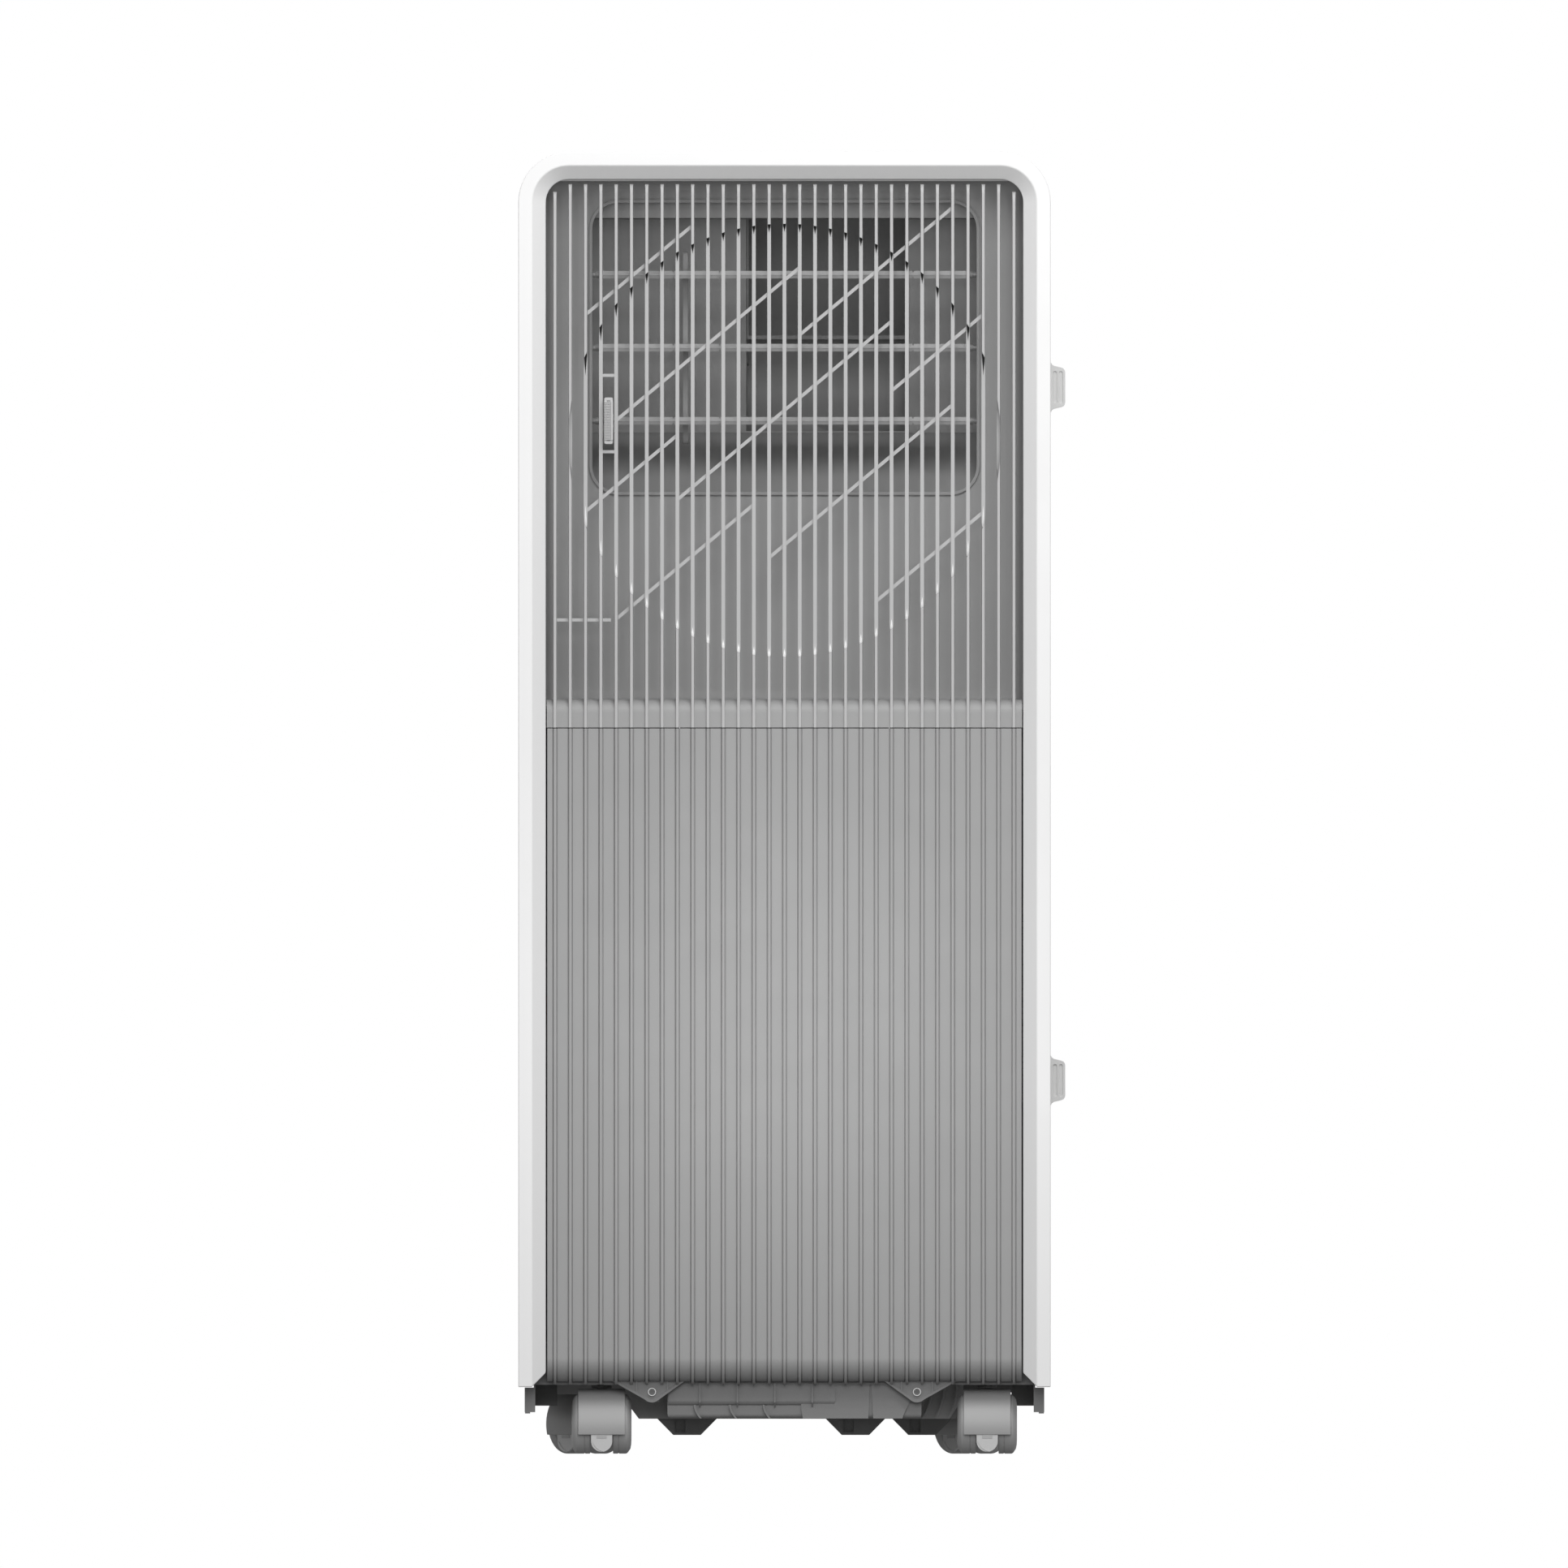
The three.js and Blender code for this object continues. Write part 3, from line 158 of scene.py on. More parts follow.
@dataclass(frozen=True)
class Finish:
    """A moulded or painted surface.

    Attributes:
        name: the material's name.
        slot: the record's material slot that it stands for.
        colour: base colour, linear.
        roughness: middle roughness.
        metallic: 1 for bare metal.
        grain: bump of the moulded texture, 0 for none.
        grain_size: texture features per metre.
        mottle: how far the colour drifts over the piece.
        coat: clear coat weight.
    """

    name: str
    slot: str
    colour: tuple[float, float, float]
    roughness: float = 0.5
    metallic: float = 0.0
    grain: float = 0.06
    grain_size: float = 1400.0
    mottle: float = 0.03
    coat: float = 0.0

    def build(self) -> bpy.types.Material:
        """Makes the material: drifting colour, uneven roughness and a fine moulded grain.

        Returns:
            The new material.
        """
        made = bpy.data.materials.new(self.name)
        made.use_nodes = True
        tree = made.node_tree
        shader = tree.nodes["Principled BSDF"]
        shader.inputs["Metallic"].default_value = self.metallic
        shader.inputs["Coat Weight"].default_value = self.coat
        wiring = Wiring(tree, tree.nodes.new("ShaderNodeTexCoord").outputs["Object"], shader)
        self.tint(wiring)
        self.polish(wiring)
        if self.grain:
            self.emboss(wiring)
        return made

    def tint(self, wiring: Wiring) -> None:
        """Lets the colour drift a little over the piece.

        Args:
            wiring: the material's nodes.
        """
        ramp = wiring.tree.nodes.new("ShaderNodeValToRGB")
        elements = ramp.color_ramp.elements
        for element, share in zip(elements, (1 - self.mottle, 1 + self.mottle)):
            element.color = (*(min(1.0, part * share) for part in self.colour), 1)
        elements[0].position, elements[1].position = DRIFT_SPAN
        wiring.tree.links.new(wiring.noise(DRIFT_SCALE, DRIFT_DETAIL), ramp.inputs["Fac"])
        wiring.tree.links.new(ramp.outputs["Color"], wiring.shader.inputs["Base Color"])

    def polish(self, wiring: Wiring) -> None:
        """Makes the roughness uneven, as handling and mould polish leave it.

        Args:
            wiring: the material's nodes.
        """
        spread = wiring.tree.nodes.new("ShaderNodeMapRange")
        spread.inputs["To Min"].default_value = max(LEAST_ROUGHNESS, self.roughness - WEAR_SPREAD)
        spread.inputs["To Max"].default_value = min(1.0, self.roughness + WEAR_SPREAD)
        wiring.tree.links.new(wiring.noise(WEAR_SCALE, WEAR_DETAIL), spread.inputs["Value"])
        wiring.tree.links.new(spread.outputs["Result"], wiring.shader.inputs["Roughness"])

    def emboss(self, wiring: Wiring) -> None:
        """Adds the fine grain that a mould leaves."""
        wiring.press(wiring.noise(self.grain_size, GRAIN_DETAIL), self.grain, GRAIN_HEIGHT)


@dataclass(frozen=True)
class FinnedMetal(Finish):
    """Aluminium fins that stand side by side along X."""

    fins_per_metre: float = 600.0

    def emboss(self, wiring: Wiring) -> None:
        """Draws the fins as fine ridges across X.

        Args:
            wiring: the material's nodes.
        """
        fins = wiring.tree.nodes.new("ShaderNodeTexWave")
        fins.wave_type = "BANDS"
        fins.bands_direction = "X"
        fins.inputs["Scale"].default_value = self.fins_per_metre / math.tau
        wiring.tree.links.new(wiring.place, fins.inputs["Vector"])
        wiring.press(fins.outputs["Fac"], self.grain, FIN_HEIGHT)


CASING_WHITE = Finish("casing_white", "casing", (0.79, 0.79, 0.79), 0.45, grain=0.03, mottle=0.008)
GRILLE_GREY = Finish("grille_grey", "grille", (0.42, 0.42, 0.42), 0.48, grain=0.05, mottle=0.015)
PANEL_GREY = Finish("panel_grey", "grille", (0.31, 0.31, 0.31), 0.5, grain=0.25, grain_size=900, mottle=0.02)
INNER_GREY = Finish("inner_grey", "inner", (0.33, 0.33, 0.33), 0.55, grain=0.08)
BASE_GREY = Finish("base_grey", "base", (0.19, 0.19, 0.19), 0.55, grain=0.1)
BLOWER_DARK = Finish("blower_dark", "inner", (0.3, 0.3, 0.3), 0.7, grain=0.1)
# Painted highlight: pale for the drop-shaped marks in the steps along the dish rim's lower half, which face up into
# the light.
PAINTED_HIGHLIGHT_PALE = Finish("mark_pale", "grille", (0.72, 0.72, 0.72), 0.3, grain=0.0, mottle=0.0)
# Painted shadow: near-black for the drop-shaped marks in the steps along the dish rim's upper half, where shade
# falls.
PAINTED_SHADOW_BLACK = Finish("mark_dark", "grille", (0.004, 0.004, 0.004), 0.8, grain=0.0, mottle=0.0)
SCREW_DARK = Finish("screw_dark", "steel", (0.12, 0.12, 0.12), 0.45, grain=0.05)
# Painted highlight: pale for the ring on each panel screw's rim.
SCREW_RIM_PAINTED_HIGHLIGHT = Finish("ring_pale", "steel", (0.8, 0.8, 0.8), 0.4, grain=0.05)
# Painted light: a paler copy of the pan's grey, for the pan's recessed walls where shade falls.
BASE_GREY_PAINTED_LIGHTER = Finish("tub_grey", "base", (0.42, 0.42, 0.42), 0.6, grain=0.1)
WEB_PALE = Finish("web_pale", "caster", (0.5, 0.5, 0.5), 0.4, grain=0.05)
CASTER_GREY = Finish("caster_grey", "caster", (0.38, 0.38, 0.38), 0.5, grain=0.12)
LOUVER_GREY = Finish("louver_grey", "louver", (0.37, 0.37, 0.37), 0.38, grain=0.04)
KNOB_GREY = Finish("knob_grey", "knob", (0.45, 0.45, 0.45), 0.45, grain=0.04)
FILTER_WHITE = Finish("filter_white", "filter", (0.8, 0.8, 0.795), 0.5, grain=0.05, mottle=0.01)
FASCIA_BLACK = Finish("fascia_black", "fascia", (0.012, 0.012, 0.014), 0.32, grain=0.0)
LENS_BLACK = Finish("lens_black", "fascia", (0.03, 0.035, 0.04), 0.12, grain=0.0, coat=0.4)
KEY_GREY = Finish("key_grey", "key", (0.62, 0.62, 0.62), 0.4, grain=0.04)
ZINC = Finish("zinc_steel", "steel", (0.56, 0.57, 0.58), 0.3, metallic=1.0, grain=0.05, mottle=0.05)
ENAMEL = Finish("compressor_enamel", "compressor", (0.012, 0.012, 0.014), 0.45, grain=0.15, grain_size=500)
COPPER = Finish("copper_tube", "copper", (0.72, 0.32, 0.17), 0.32, metallic=1.0, grain=0.04, mottle=0.12)
BOARD_GREEN = Finish("board_green", "board", (0.02, 0.09, 0.035), 0.5, grain=0.1)
COIL_FINS = FinnedMetal("coil_fins", "fins", (0.7, 0.72, 0.74), 0.35, metallic=1.0, grain=0.9)
MESH_GREY = Finish("filter_mesh", "filter", (0.3, 0.3, 0.31), 0.8, grain=0.1)


@dataclass
class Paint:
    """Keeps one material for each finish."""

    made: dict[str, bpy.types.Material] = field(default_factory=dict)

    def coat(self, piece: Node, finish: Finish) -> None:
        """Gives a piece its finish, in every slot it has.

        Args:
            piece: the piece.
            finish: its finish.
        """
        if finish.name not in self.made:
            self.made[finish.name] = finish.build()
        piece.data.materials.clear()
        piece.data.materials.append(self.made[finish.name])


# ---------------------------------------- modelling
@dataclass(frozen=True)
class Datum:
    """Where the casing's centre plane lies in the frame, in metres."""

    x: float

    def metres(self, place: Sequence[float]) -> Vector:
        """A place in millimetres about the casing's centre plane, in the frame's metres."""
        return Vector(place) * MM + Vector((self.x, 0, 0))


@dataclass
class Bench:
    """The modelling moves that every sub-assembly uses, each a short run of operators."""

    datum: Datum

    # -- selection
    @staticmethod
    def clear() -> None:
        """Leaves edit mode and deselects everything."""
        if bpy.context.object and bpy.context.object.mode != "OBJECT":
            bpy.ops.object.mode_set(mode="OBJECT")
        bpy.ops.object.select_all(action="DESELECT")

    def hold(self, piece: Node, *others: Node) -> None:
        """Makes a piece the active one, selected with the others.

        Args:
            piece: the piece to make active.
            *others: pieces to select beside it.
        """
        self.clear()
        for each in (*others, piece):
            each.select_set(True)
        bpy.context.view_layer.objects.active = piece

    def edit(self, piece: Node) -> None:
        """Opens a piece for editing with all of it selected.

        Args:
            piece: the piece.
        """
        self.hold(piece)
        bpy.ops.object.mode_set(mode="EDIT")
        bpy.ops.mesh.select_all(action="SELECT")

    def pick_faces(self, piece: Node, test: Callable[[Vector, Vector], bool]) -> None:
        """Opens a piece with only some faces selected.

        Args:
            piece: the piece.
            test: takes a face's centre, in millimetres about the centre plane, and its normal.
        """
        self._pick(piece, "FACE")
        shift = Vector((self.datum.x, 0, 0))
        for face in piece.data.polygons:
            face.select = test((face.center - shift) / MM, face.normal)
        bpy.ops.object.mode_set(mode="EDIT")

    def open_up(self, piece: Node, test: Callable[[Vector, Vector], bool]) -> None:
        """Deletes some of a piece's faces.

        Args:
            piece: the piece.
            test: as in pick_faces.
        """
        self.pick_faces(piece, test)
        bpy.ops.mesh.delete(type="FACE")
        bpy.ops.object.mode_set(mode="OBJECT")

    def pick_edges(self, piece: Node, test: Callable[[Vector, Vector], bool]) -> None:
        """Opens a piece with only some edges selected.

        Args:
            piece: the piece.
            test: takes an edge's two ends, in millimetres about the centre plane.
        """
        self._pick(piece, "EDGE")
        shift = Vector((self.datum.x, 0, 0))
        places = [(v.co - shift) / MM for v in piece.data.vertices]
        for edge in piece.data.edges:
            edge.select = test(*(places[i] for i in edge.vertices))
        bpy.ops.object.mode_set(mode="EDIT")

    def _pick(self, piece: Node, mode: str) -> None:
        """Deselects all of a piece in one selection mode and leaves it in object mode.

        Args:
            piece: the piece.
            mode: VERT, EDGE or FACE.
        """
        self.edit(piece)
        bpy.ops.mesh.select_mode(type=mode)
        bpy.ops.mesh.select_all(action="DESELECT")
        bpy.ops.object.mode_set(mode="OBJECT")

    # -- starting shapes
    def _settle(self, name: str) -> Node:
        """Names the new primitive and puts its place into its mesh.

        Args:
            name: its name.

        Returns:
            The primitive, at the origin.
        """
        piece = bpy.context.object
        piece.name = piece.data.name = name
        bpy.ops.object.transform_apply(location=True, rotation=True, scale=True)
        return piece

    def block(self, name: str, xs: UV, ys: UV, zs: UV) -> Node:
        """A block between two places on each axis.

        Args:
            name: the piece's name.
            xs: its two ends along X, in either order.
            ys: its ends along Y.
            zs: its ends along Z.

        Returns:
            The new piece.
        """
        self.clear()
        spans = [sorted(pair) for pair in (xs, ys, zs)]
        centre = self.datum.metres([(low + high) / 2 for low, high in spans])
        bpy.ops.mesh.primitive_cube_add(size=MM, location=centre, scale=[high - low for low, high in spans])
        return self._settle(name)

    def drum(self, name: str, axis: Axis, radius: float, ends: UV, centre: UV, sides: int = 48,
             end_radius: Optional[float] = None) -> Node:
        """A round bar along an axis, or a taper where its far end has a radius of its own.

        Args:
            name: the piece's name.
            axis: the direction it runs in.
            radius: its radius at the lower end.
            ends: where it starts and stops along the axis.
            centre: its centre in the other two coordinates.
            sides: facets round it.
            end_radius: its radius at the upper end.

        Returns:
            The new piece.
        """
        self.clear()
        turn = {Axis.X: (0, math.pi / 2, 0), Axis.Y: (-math.pi / 2, 0, 0), Axis.Z: (0, 0, 0)}[axis]
        bpy.ops.mesh.primitive_cone_add(
            vertices=sides, radius1=radius * MM, radius2=(end_radius or radius) * MM,
            depth=(ends[1] - ends[0]) * MM, rotation=turn,
            location=self.datum.metres(axis.spot(*centre, sum(ends) / 2)))
        return self._settle(name)

    def _chain(self, name: str, axis: Axis, outline: Sequence[UV], w: float) -> Node:
        """Draws an outline point by point, and fills it.

        Args:
            name: the piece's name.
            axis: the direction that the outline faces.
            outline: its corners, in order.
            w: its place along the axis.

        Returns:
            The new piece, open for editing.
        """
        self.clear()
        spots = [self.datum.metres(axis.spot(u, v, w)) for u, v in outline]
        bpy.ops.mesh.primitive_plane_add(size=MM, location=spots[0])
        piece = self._settle(name)
        self.edit(piece)
        bpy.ops.mesh.select_mode(type="VERT")
        bpy.ops.mesh.merge(type="CENTER")
        for start, stop in zip(spots, spots[1:]):
            bpy.ops.mesh.extrude_region_move(TRANSFORM_OT_translate={"value": stop - start})
        bpy.ops.mesh.select_all(action="SELECT")
        bpy.ops.mesh.edge_face_add()
        return piece

    def prism(self, name: str, axis: Axis, outline: Sequence[UV], ends: UV) -> Node:
        """An outline drawn point by point and pushed along an axis.

        Args:
            name: the piece's name.
            axis: the direction it is pushed in.
            outline: its corners in the other two coordinates, in order.
            ends: where it starts and stops along the axis.

        Returns:
            The new piece.
        """
        piece = self._chain(name, axis, outline, ends[0])
        push = Vector((0, 0, 0))
        push[axis.value] = (ends[1] - ends[0]) * MM
        bpy.ops.mesh.extrude_region_move(TRANSFORM_OT_translate={"value": push})
        self.face_out()
        return piece

    def turned(self, name: str, axis: Axis, profile: Sequence[UV], centre: UV, steps: int = 48) -> Node:
        """A closed profile spun about an axis.

        Args:
            name: the piece's name.
            axis: the axis that it turns about.
            profile: pairs of (place along the axis, radius).
            centre: the axis's place in the other two coordinates.
            steps: facets round it.

        Returns:
            The new piece.
        """
        start = {Axis.X: lambda w, r: (w, centre[0], centre[1] + r), Axis.Y: lambda w,
                 r: (centre[0], w, centre[1] + r),
                 Axis.Z: lambda w, r: (centre[0] + r, centre[1], w)}[axis]
        flat = {Axis.X: Axis.Y, Axis.Y: Axis.X, Axis.Z: Axis.Y}[axis]
        spots = [Vector(start(w, r)) for w, r in profile]
        drop = [i for i in range(3) if i != flat.value]
        piece = self._chain(name, flat, [(p[drop[0]], p[drop[1]]) for p in spots], spots[0][flat.value])
        bpy.ops.mesh.delete(type="ONLY_FACE")
        bpy.ops.mesh.select_all(action="SELECT")
        way = Vector((0, 0, 0))
        way[axis.value] = 1
        bpy.ops.mesh.spin(steps=steps, angle=math.tau, center=self.datum.metres(axis.spot(*centre, 0)), axis=way)
        bpy.ops.mesh.select_all(action="SELECT")
        bpy.ops.mesh.remove_doubles(threshold=0.000005)
        self.face_out()
        return piece

    @staticmethod
    def face_out() -> None:
        """Turns every face of the open piece outwards and closes it."""
        bpy.ops.mesh.select_all(action="SELECT")
        bpy.ops.mesh.normals_make_consistent(inside=False)
        bpy.ops.object.mode_set(mode="OBJECT")

    def round_edges(self, piece: Node, radius: float, segments: int,
                    test: Callable[[Vector, Vector], bool]) -> Node:
        """Rounds the edges that pass a test, as one operator on the open mesh.

        Args:
            piece: the piece.
            radius: how far the rounding reaches from each edge.
            segments: facets across it.
            test: takes an edge's two ends, as in pick_edges.

        Returns:
            The same piece.
        """
        self.pick_edges(piece, test)
        bpy.ops.mesh.bevel(offset=radius * MM, segments=segments, affect="EDGES", profile=0.5)
        bpy.ops.object.mode_set(mode="OBJECT")
        return piece

    def pad(self, name: str, axis: Axis, us: UV, vs: UV, radius: float, ends: UV, segments: int = 8) -> Node:
        """A block whose four edges along an axis are rounded.

        Args:
            name: the piece's name.
            axis: the direction of the rounded edges.
            us: its ends in the first of the other two coordinates.
            vs: its ends in the second.
            radius: how round the edges are.
            ends: its ends along the axis.
            segments: facets in each edge.

        Returns:
            The new piece.
        """
        spans = {Axis.X: (ends, us, vs), Axis.Y: (us, ends, vs), Axis.Z: (us, vs, ends)}[axis]
        piece = self.block(name, *spans)
        others = [i for i in range(3) if i != axis.value]
        return self.round_edges(piece, radius, segments, lambda a, b: all(abs(a[i] - b[i]) < 1e-3 for i in others))

    # -- modifiers, each applied at once
    def modify(self, piece: Node, kind: str, **facts: object) -> Node:
        """Adds a modifier, sets it up and applies it.

        Args:
            piece: the piece.
            kind: the modifier's type.
            **facts: its settings.

        Returns:
            The same piece.
        """
        self.hold(piece)
        bpy.ops.object.modifier_add(type=kind)
        added = piece.modifiers[-1]
        for key, value in facts.items():
            setattr(added, key, value)
        bpy.ops.object.modifier_apply(modifier=added.name)
        return piece

    def cut(self, piece: Node, *tools: Node) -> Node:
        """Takes each tool's shape out of a piece, and the tool is used up.

        Args:
            piece: the piece.
            *tools: the shapes to take out.

        Returns:
            The same piece.
        """
        for tool in tools:
            self.modify(piece, "BOOLEAN", object=tool, operation="DIFFERENCE", solver="EXACT")
            bpy.data.objects.remove(tool)
        return piece

    def keep_common(self, piece: Node, tool: Node) -> Node:
        """Keeps only what a piece shares with a tool's shape, and the tool is used up.

        Args:
            piece: the piece.
            tool: the shape to keep within.

        Returns:
            The same piece.
        """
        self.modify(piece, "BOOLEAN", object=tool, operation="INTERSECT", solver="EXACT")
        bpy.data.objects.remove(tool)
        return piece

    def weld(self, piece: Node, *others: Node) -> Node:
        """Unites pieces that overlap into one skin, and the others are used up.

        Args:
            piece: the piece.
            *others: the shapes to unite with it.

        Returns:
            The same piece.
        """
        for other in others:
            self.modify(piece, "BOOLEAN", object=other, operation="UNION", solver="EXACT")
            bpy.data.objects.remove(other)
        return piece

    def gather(self, piece: Node, *others: Node) -> Node:
        """Joins pieces that don't touch into one object.

        Args:
            piece: the piece.
            *others: the pieces to join to it.

        Returns:
            The same piece.
        """
        if others:
            self.hold(piece, *others)
            bpy.ops.object.join()
        return piece

    def soften(self, piece: Node, width: float, segments: int = 2, angle: float = 40) -> Node:
        """Takes the sharpness off a piece's edges and shades it smooth between them.

        Args:
            piece: the piece.
            width: how far the bevel reaches from each edge.
            segments: facets across it.
            angle: the least turn, in degrees, that counts as an edge.

        Returns:
            The same piece.
        """
        self.modify(piece, "BEVEL", width=width * MM, segments=segments, limit_method="ANGLE",
                    angle_limit=math.radians(angle), use_clamp_overlap=True)
        return self.smooth(piece)

    def smooth(self, piece: Node, angle: float = 35) -> Node:
        """Shades a piece smooth except at its sharp edges.

        Args:
            piece: the piece.
            angle: the least turn, in degrees, that stays sharp.

        Returns:
            The same piece.
        """
        self.hold(piece)
        bpy.ops.object.shade_smooth_by_angle(angle=math.radians(angle))
        return piece

    def thicken(self, piece: Node, wall: float) -> Node:
        """Gives an open shell a wall, inwards for a positive number."""
        return self.modify(piece, "SOLIDIFY", thickness=abs(wall) * MM, offset=-1 if wall > 0 else 1,
                           use_even_offset=True)

    def even_out(self, piece: Node) -> Node:
        """Leans the shading normals towards the larger faces, so that flats shade flat."""
        return self.modify(piece, "WEIGHTED_NORMAL", mode="FACE_AREA", weight=100, keep_sharp=True)

    def repeat(self, piece: Node, count: int, step: Sequence[float]) -> Node:
        """Repeats a piece at even steps as one object."""
        return self.modify(piece, "ARRAY", count=count, use_relative_offset=False, use_constant_offset=True,
                           constant_offset_displace=Vector(step) * MM)

    def twin(self, piece: Node, name: str) -> Node:
        """A copy of a piece with its own mesh.

        Args:
            piece: the piece to copy.
            name: the copy's name.

        Returns:
            The copy.
        """
        self.hold(piece)
        bpy.ops.object.duplicate()
        other = bpy.context.object
        other.name = other.data.name = name
        return other

    def place(self, piece: Node, shift: Sequence[float], turn: float = 0.0) -> Node:
        """Turns a piece about the casing's centre line at the floor, then moves it, both in its mesh.

        Args:
            piece: the piece.
            shift: how far it moves, in millimetres.
            turn: degrees about Z, before the move.

        Returns:
            The same piece.
        """
        self.hold(piece)
        here = self.datum.metres((0, 0, 0))
        piece.location = -here
        bpy.ops.object.transform_apply(location=True, rotation=True, scale=True)
        piece.rotation_euler = (0, 0, math.radians(turn))
        piece.location = self.datum.metres(shift)
        bpy.ops.object.transform_apply(location=True, rotation=True, scale=True)
        return piece

    def mirror(self, piece: Node) -> Node:
        """Mirrors a piece across the casing's centre plane and turns its faces out again.

        Args:
            piece: the piece.

        Returns:
            The same piece.
        """
        self.edit(piece)
        bpy.ops.transform.resize(value=(-1, 1, 1), center_override=self.datum.metres((0, 0, 0)))
        bpy.ops.mesh.flip_normals()
        bpy.ops.object.mode_set(mode="OBJECT")
        return piece


def arc(centre: UV, radius: float, start: float, stop: float, steps: int) -> list[UV]:
    """Points along an arc, from one angle to another in degrees."""
    angles = [math.radians(start + (stop - start) * i / steps) for i in range(steps + 1)]
    return [(centre[0] + radius * math.cos(a), centre[1] + radius * math.sin(a)) for a in angles]


@dataclass
class SubAssembly:
    """What every sub-assembly shares: the bench, the paint and the way a piece is handed over."""

    bench: Bench
    paint: Paint

    def hand_over(self, piece: Node, finish: Finish, body: str, *nodes: str) -> None:
        """Finishes a piece: its material, its body and the CAD nodes it stands for.

        Args:
            piece: the piece.
            finish: its finish.
            body: the CAD body it rides on.
            *nodes: the CAD nodes that it replaces.
        """
        self.bench.even_out(piece)
        self.paint.coat(piece, finish)
        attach(piece, body)
        if nodes:
            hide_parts(*nodes)
        LOG.info("%s: %d faces on %s", piece.name, len(piece.data.polygons), body)


# ---------------------------------------- casing
@dataclass
class CasingSizes:
    """The casing's sizes in millimetres, read from its CAD node where that gives them."""

    half: float
    top: float
    front: float
    back: float
    foot: float
    corner: float = 33.0
    band: float = 9.0
    slope: float = 9.0
    wall: float = 3.0
    lip: float = 12.0
    mitre: float = 4.2

    @classmethod
    def from_frame(cls) -> "CasingSizes":
        """Reads the outer sizes from the CAD casing.

        Returns:
            The sizes.
        """
        low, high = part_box("outer_casing")
        half = (high.x - low.x) / 2 / MM
        return cls(half, high.z / MM, low.y / MM, high.y / MM, low.z / MM)

    @property
    def inner(self) -> float:
        """Half the width of the opening that the front shows."""
        return self.half - self.band - self.slope

    @property
    def bar_face(self) -> float:
        """Where the bars and the flutes have their front."""
        return self.front + self.slope


@dataclass
class Casing(SubAssembly):
    """The white inverted U, with its sloping inner rim, hand grips and the opening for the controls."""

    sizes: CasingSizes
    fascia_half: UV = (100.0, 30.0)
    fascia_y: float = -102.0
    grip_y: UV = (-20.0, 80.0)
    grip_z: UV = (598.0, 640.0)
    grip_corner: float = 12.0
    grip_depth: float = 26.0

    def build(self) -> None:
        """Builds the shell and its two grips."""
        self.shell()
        for side in Side:
            self.grip(side)

    def shell(self) -> None:
        """Models the U: a block with rounded upper corners, inset twice at the front and hollowed."""
        s, bench = self.sizes, self.bench
        piece = bench.block("casing_shell", (-s.half, s.half), (s.front, s.back), (0, s.top))
        bench.round_edges(piece, s.corner, 14, lambda a, b: a.z > s.top - 1 < b.z and abs(a.y - b.y) > 1
                          and abs(a.x) > s.half - 1)
        bench.open_up(piece, lambda c, n: n.z < -0.9 or n.y > 0.9)
        bench.pick_faces(piece, lambda c, n: n.y < -0.9)
        bpy.ops.mesh.inset(thickness=s.band * MM, use_even_offset=True)
        bpy.ops.mesh.inset(thickness=s.slope * MM, depth=-s.slope * MM, use_even_offset=True)
        bpy.ops.mesh.extrude_region_move(TRANSFORM_OT_translate={"value": (0, s.lip * MM, 0)})
        bpy.ops.mesh.delete(type="FACE")
        bpy.ops.object.mode_set(mode="OBJECT")
        self.trim_foot(piece)
        bench.thicken(piece, s.wall)
        half_x, half_y = self.fascia_half
        window = bench.pad("fascia_window", Axis.Z, (-half_x, half_x),
                           (self.fascia_y - half_y, self.fascia_y + half_y),
                           6, (s.top - 6, s.top + 4))
        grips = bench.pad("grip_window", Axis.X, self.grip_y, self.grip_z, self.grip_corner, past(-s.half, s.half))
        bench.cut(piece, window, grips)
        bench.soften(piece, 0.7, 3)
        self.hand_over(piece, CASING_WHITE, "cabinet", "outer_casing")

    def trim_foot(self, piece: Node) -> None:
        """Cuts the legs off level, and the sloping rim at a mitre that rises inwards.

        Args:
            piece: the open shell.
        """
        s, bench = self.sizes, self.bench
        bench.edit(piece)
        bpy.ops.mesh.bisect(plane_co=bench.datum.metres((0, 0, s.foot)), plane_no=(0, 0, 1), clear_inner=True)
        bpy.ops.object.mode_set(mode="OBJECT")
        bench.pick_faces(piece, lambda c, n: abs(c.x) < s.half - s.band - 0.5 and c.y < s.bar_face + s.lip
                         and c.z < s.top - s.band - 0.5)
        bpy.ops.mesh.bisect(plane_co=bench.datum.metres((0, s.front, s.foot)), plane_no=(0, -s.mitre, s.slope),
                            clear_inner=True)
        bpy.ops.object.mode_set(mode="OBJECT")

    def grip(self, side: Side) -> None:
        """Models a finger cup that sits behind the casing's side.

        Args:
            side: the side it is in.
        """
        s, bench = self.sizes, self.bench
        face = s.half - s.wall - 0.3
        name = f"{side.name.lower()}_finger_cup"
        grow = 4.0
        outside = [(low - grow, high + grow) for low, high in (self.grip_y, self.grip_z)]
        piece = bench.pad(name, Axis.X, *outside, self.grip_corner + grow - 1, (face - self.grip_depth, face))
        hollow = bench.pad("hollow", Axis.X, self.grip_y, self.grip_z, self.grip_corner,
                           (face - self.grip_depth + 2.5, face + 5))
        bench.round_edges(hollow, 4, 4, lambda a, b: abs(a.x - (face - self.grip_depth + 2.5)) < 0.1
                          and abs(b.x - a.x) < 0.1)
        bench.cut(piece, hollow)
        if side is Side.LEFT:
            bench.mirror(piece)
        bench.soften(piece, 0.5)
        self.hand_over(piece, INNER_GREY, "cabinet", f"hand_grip_{side.name.lower()}")


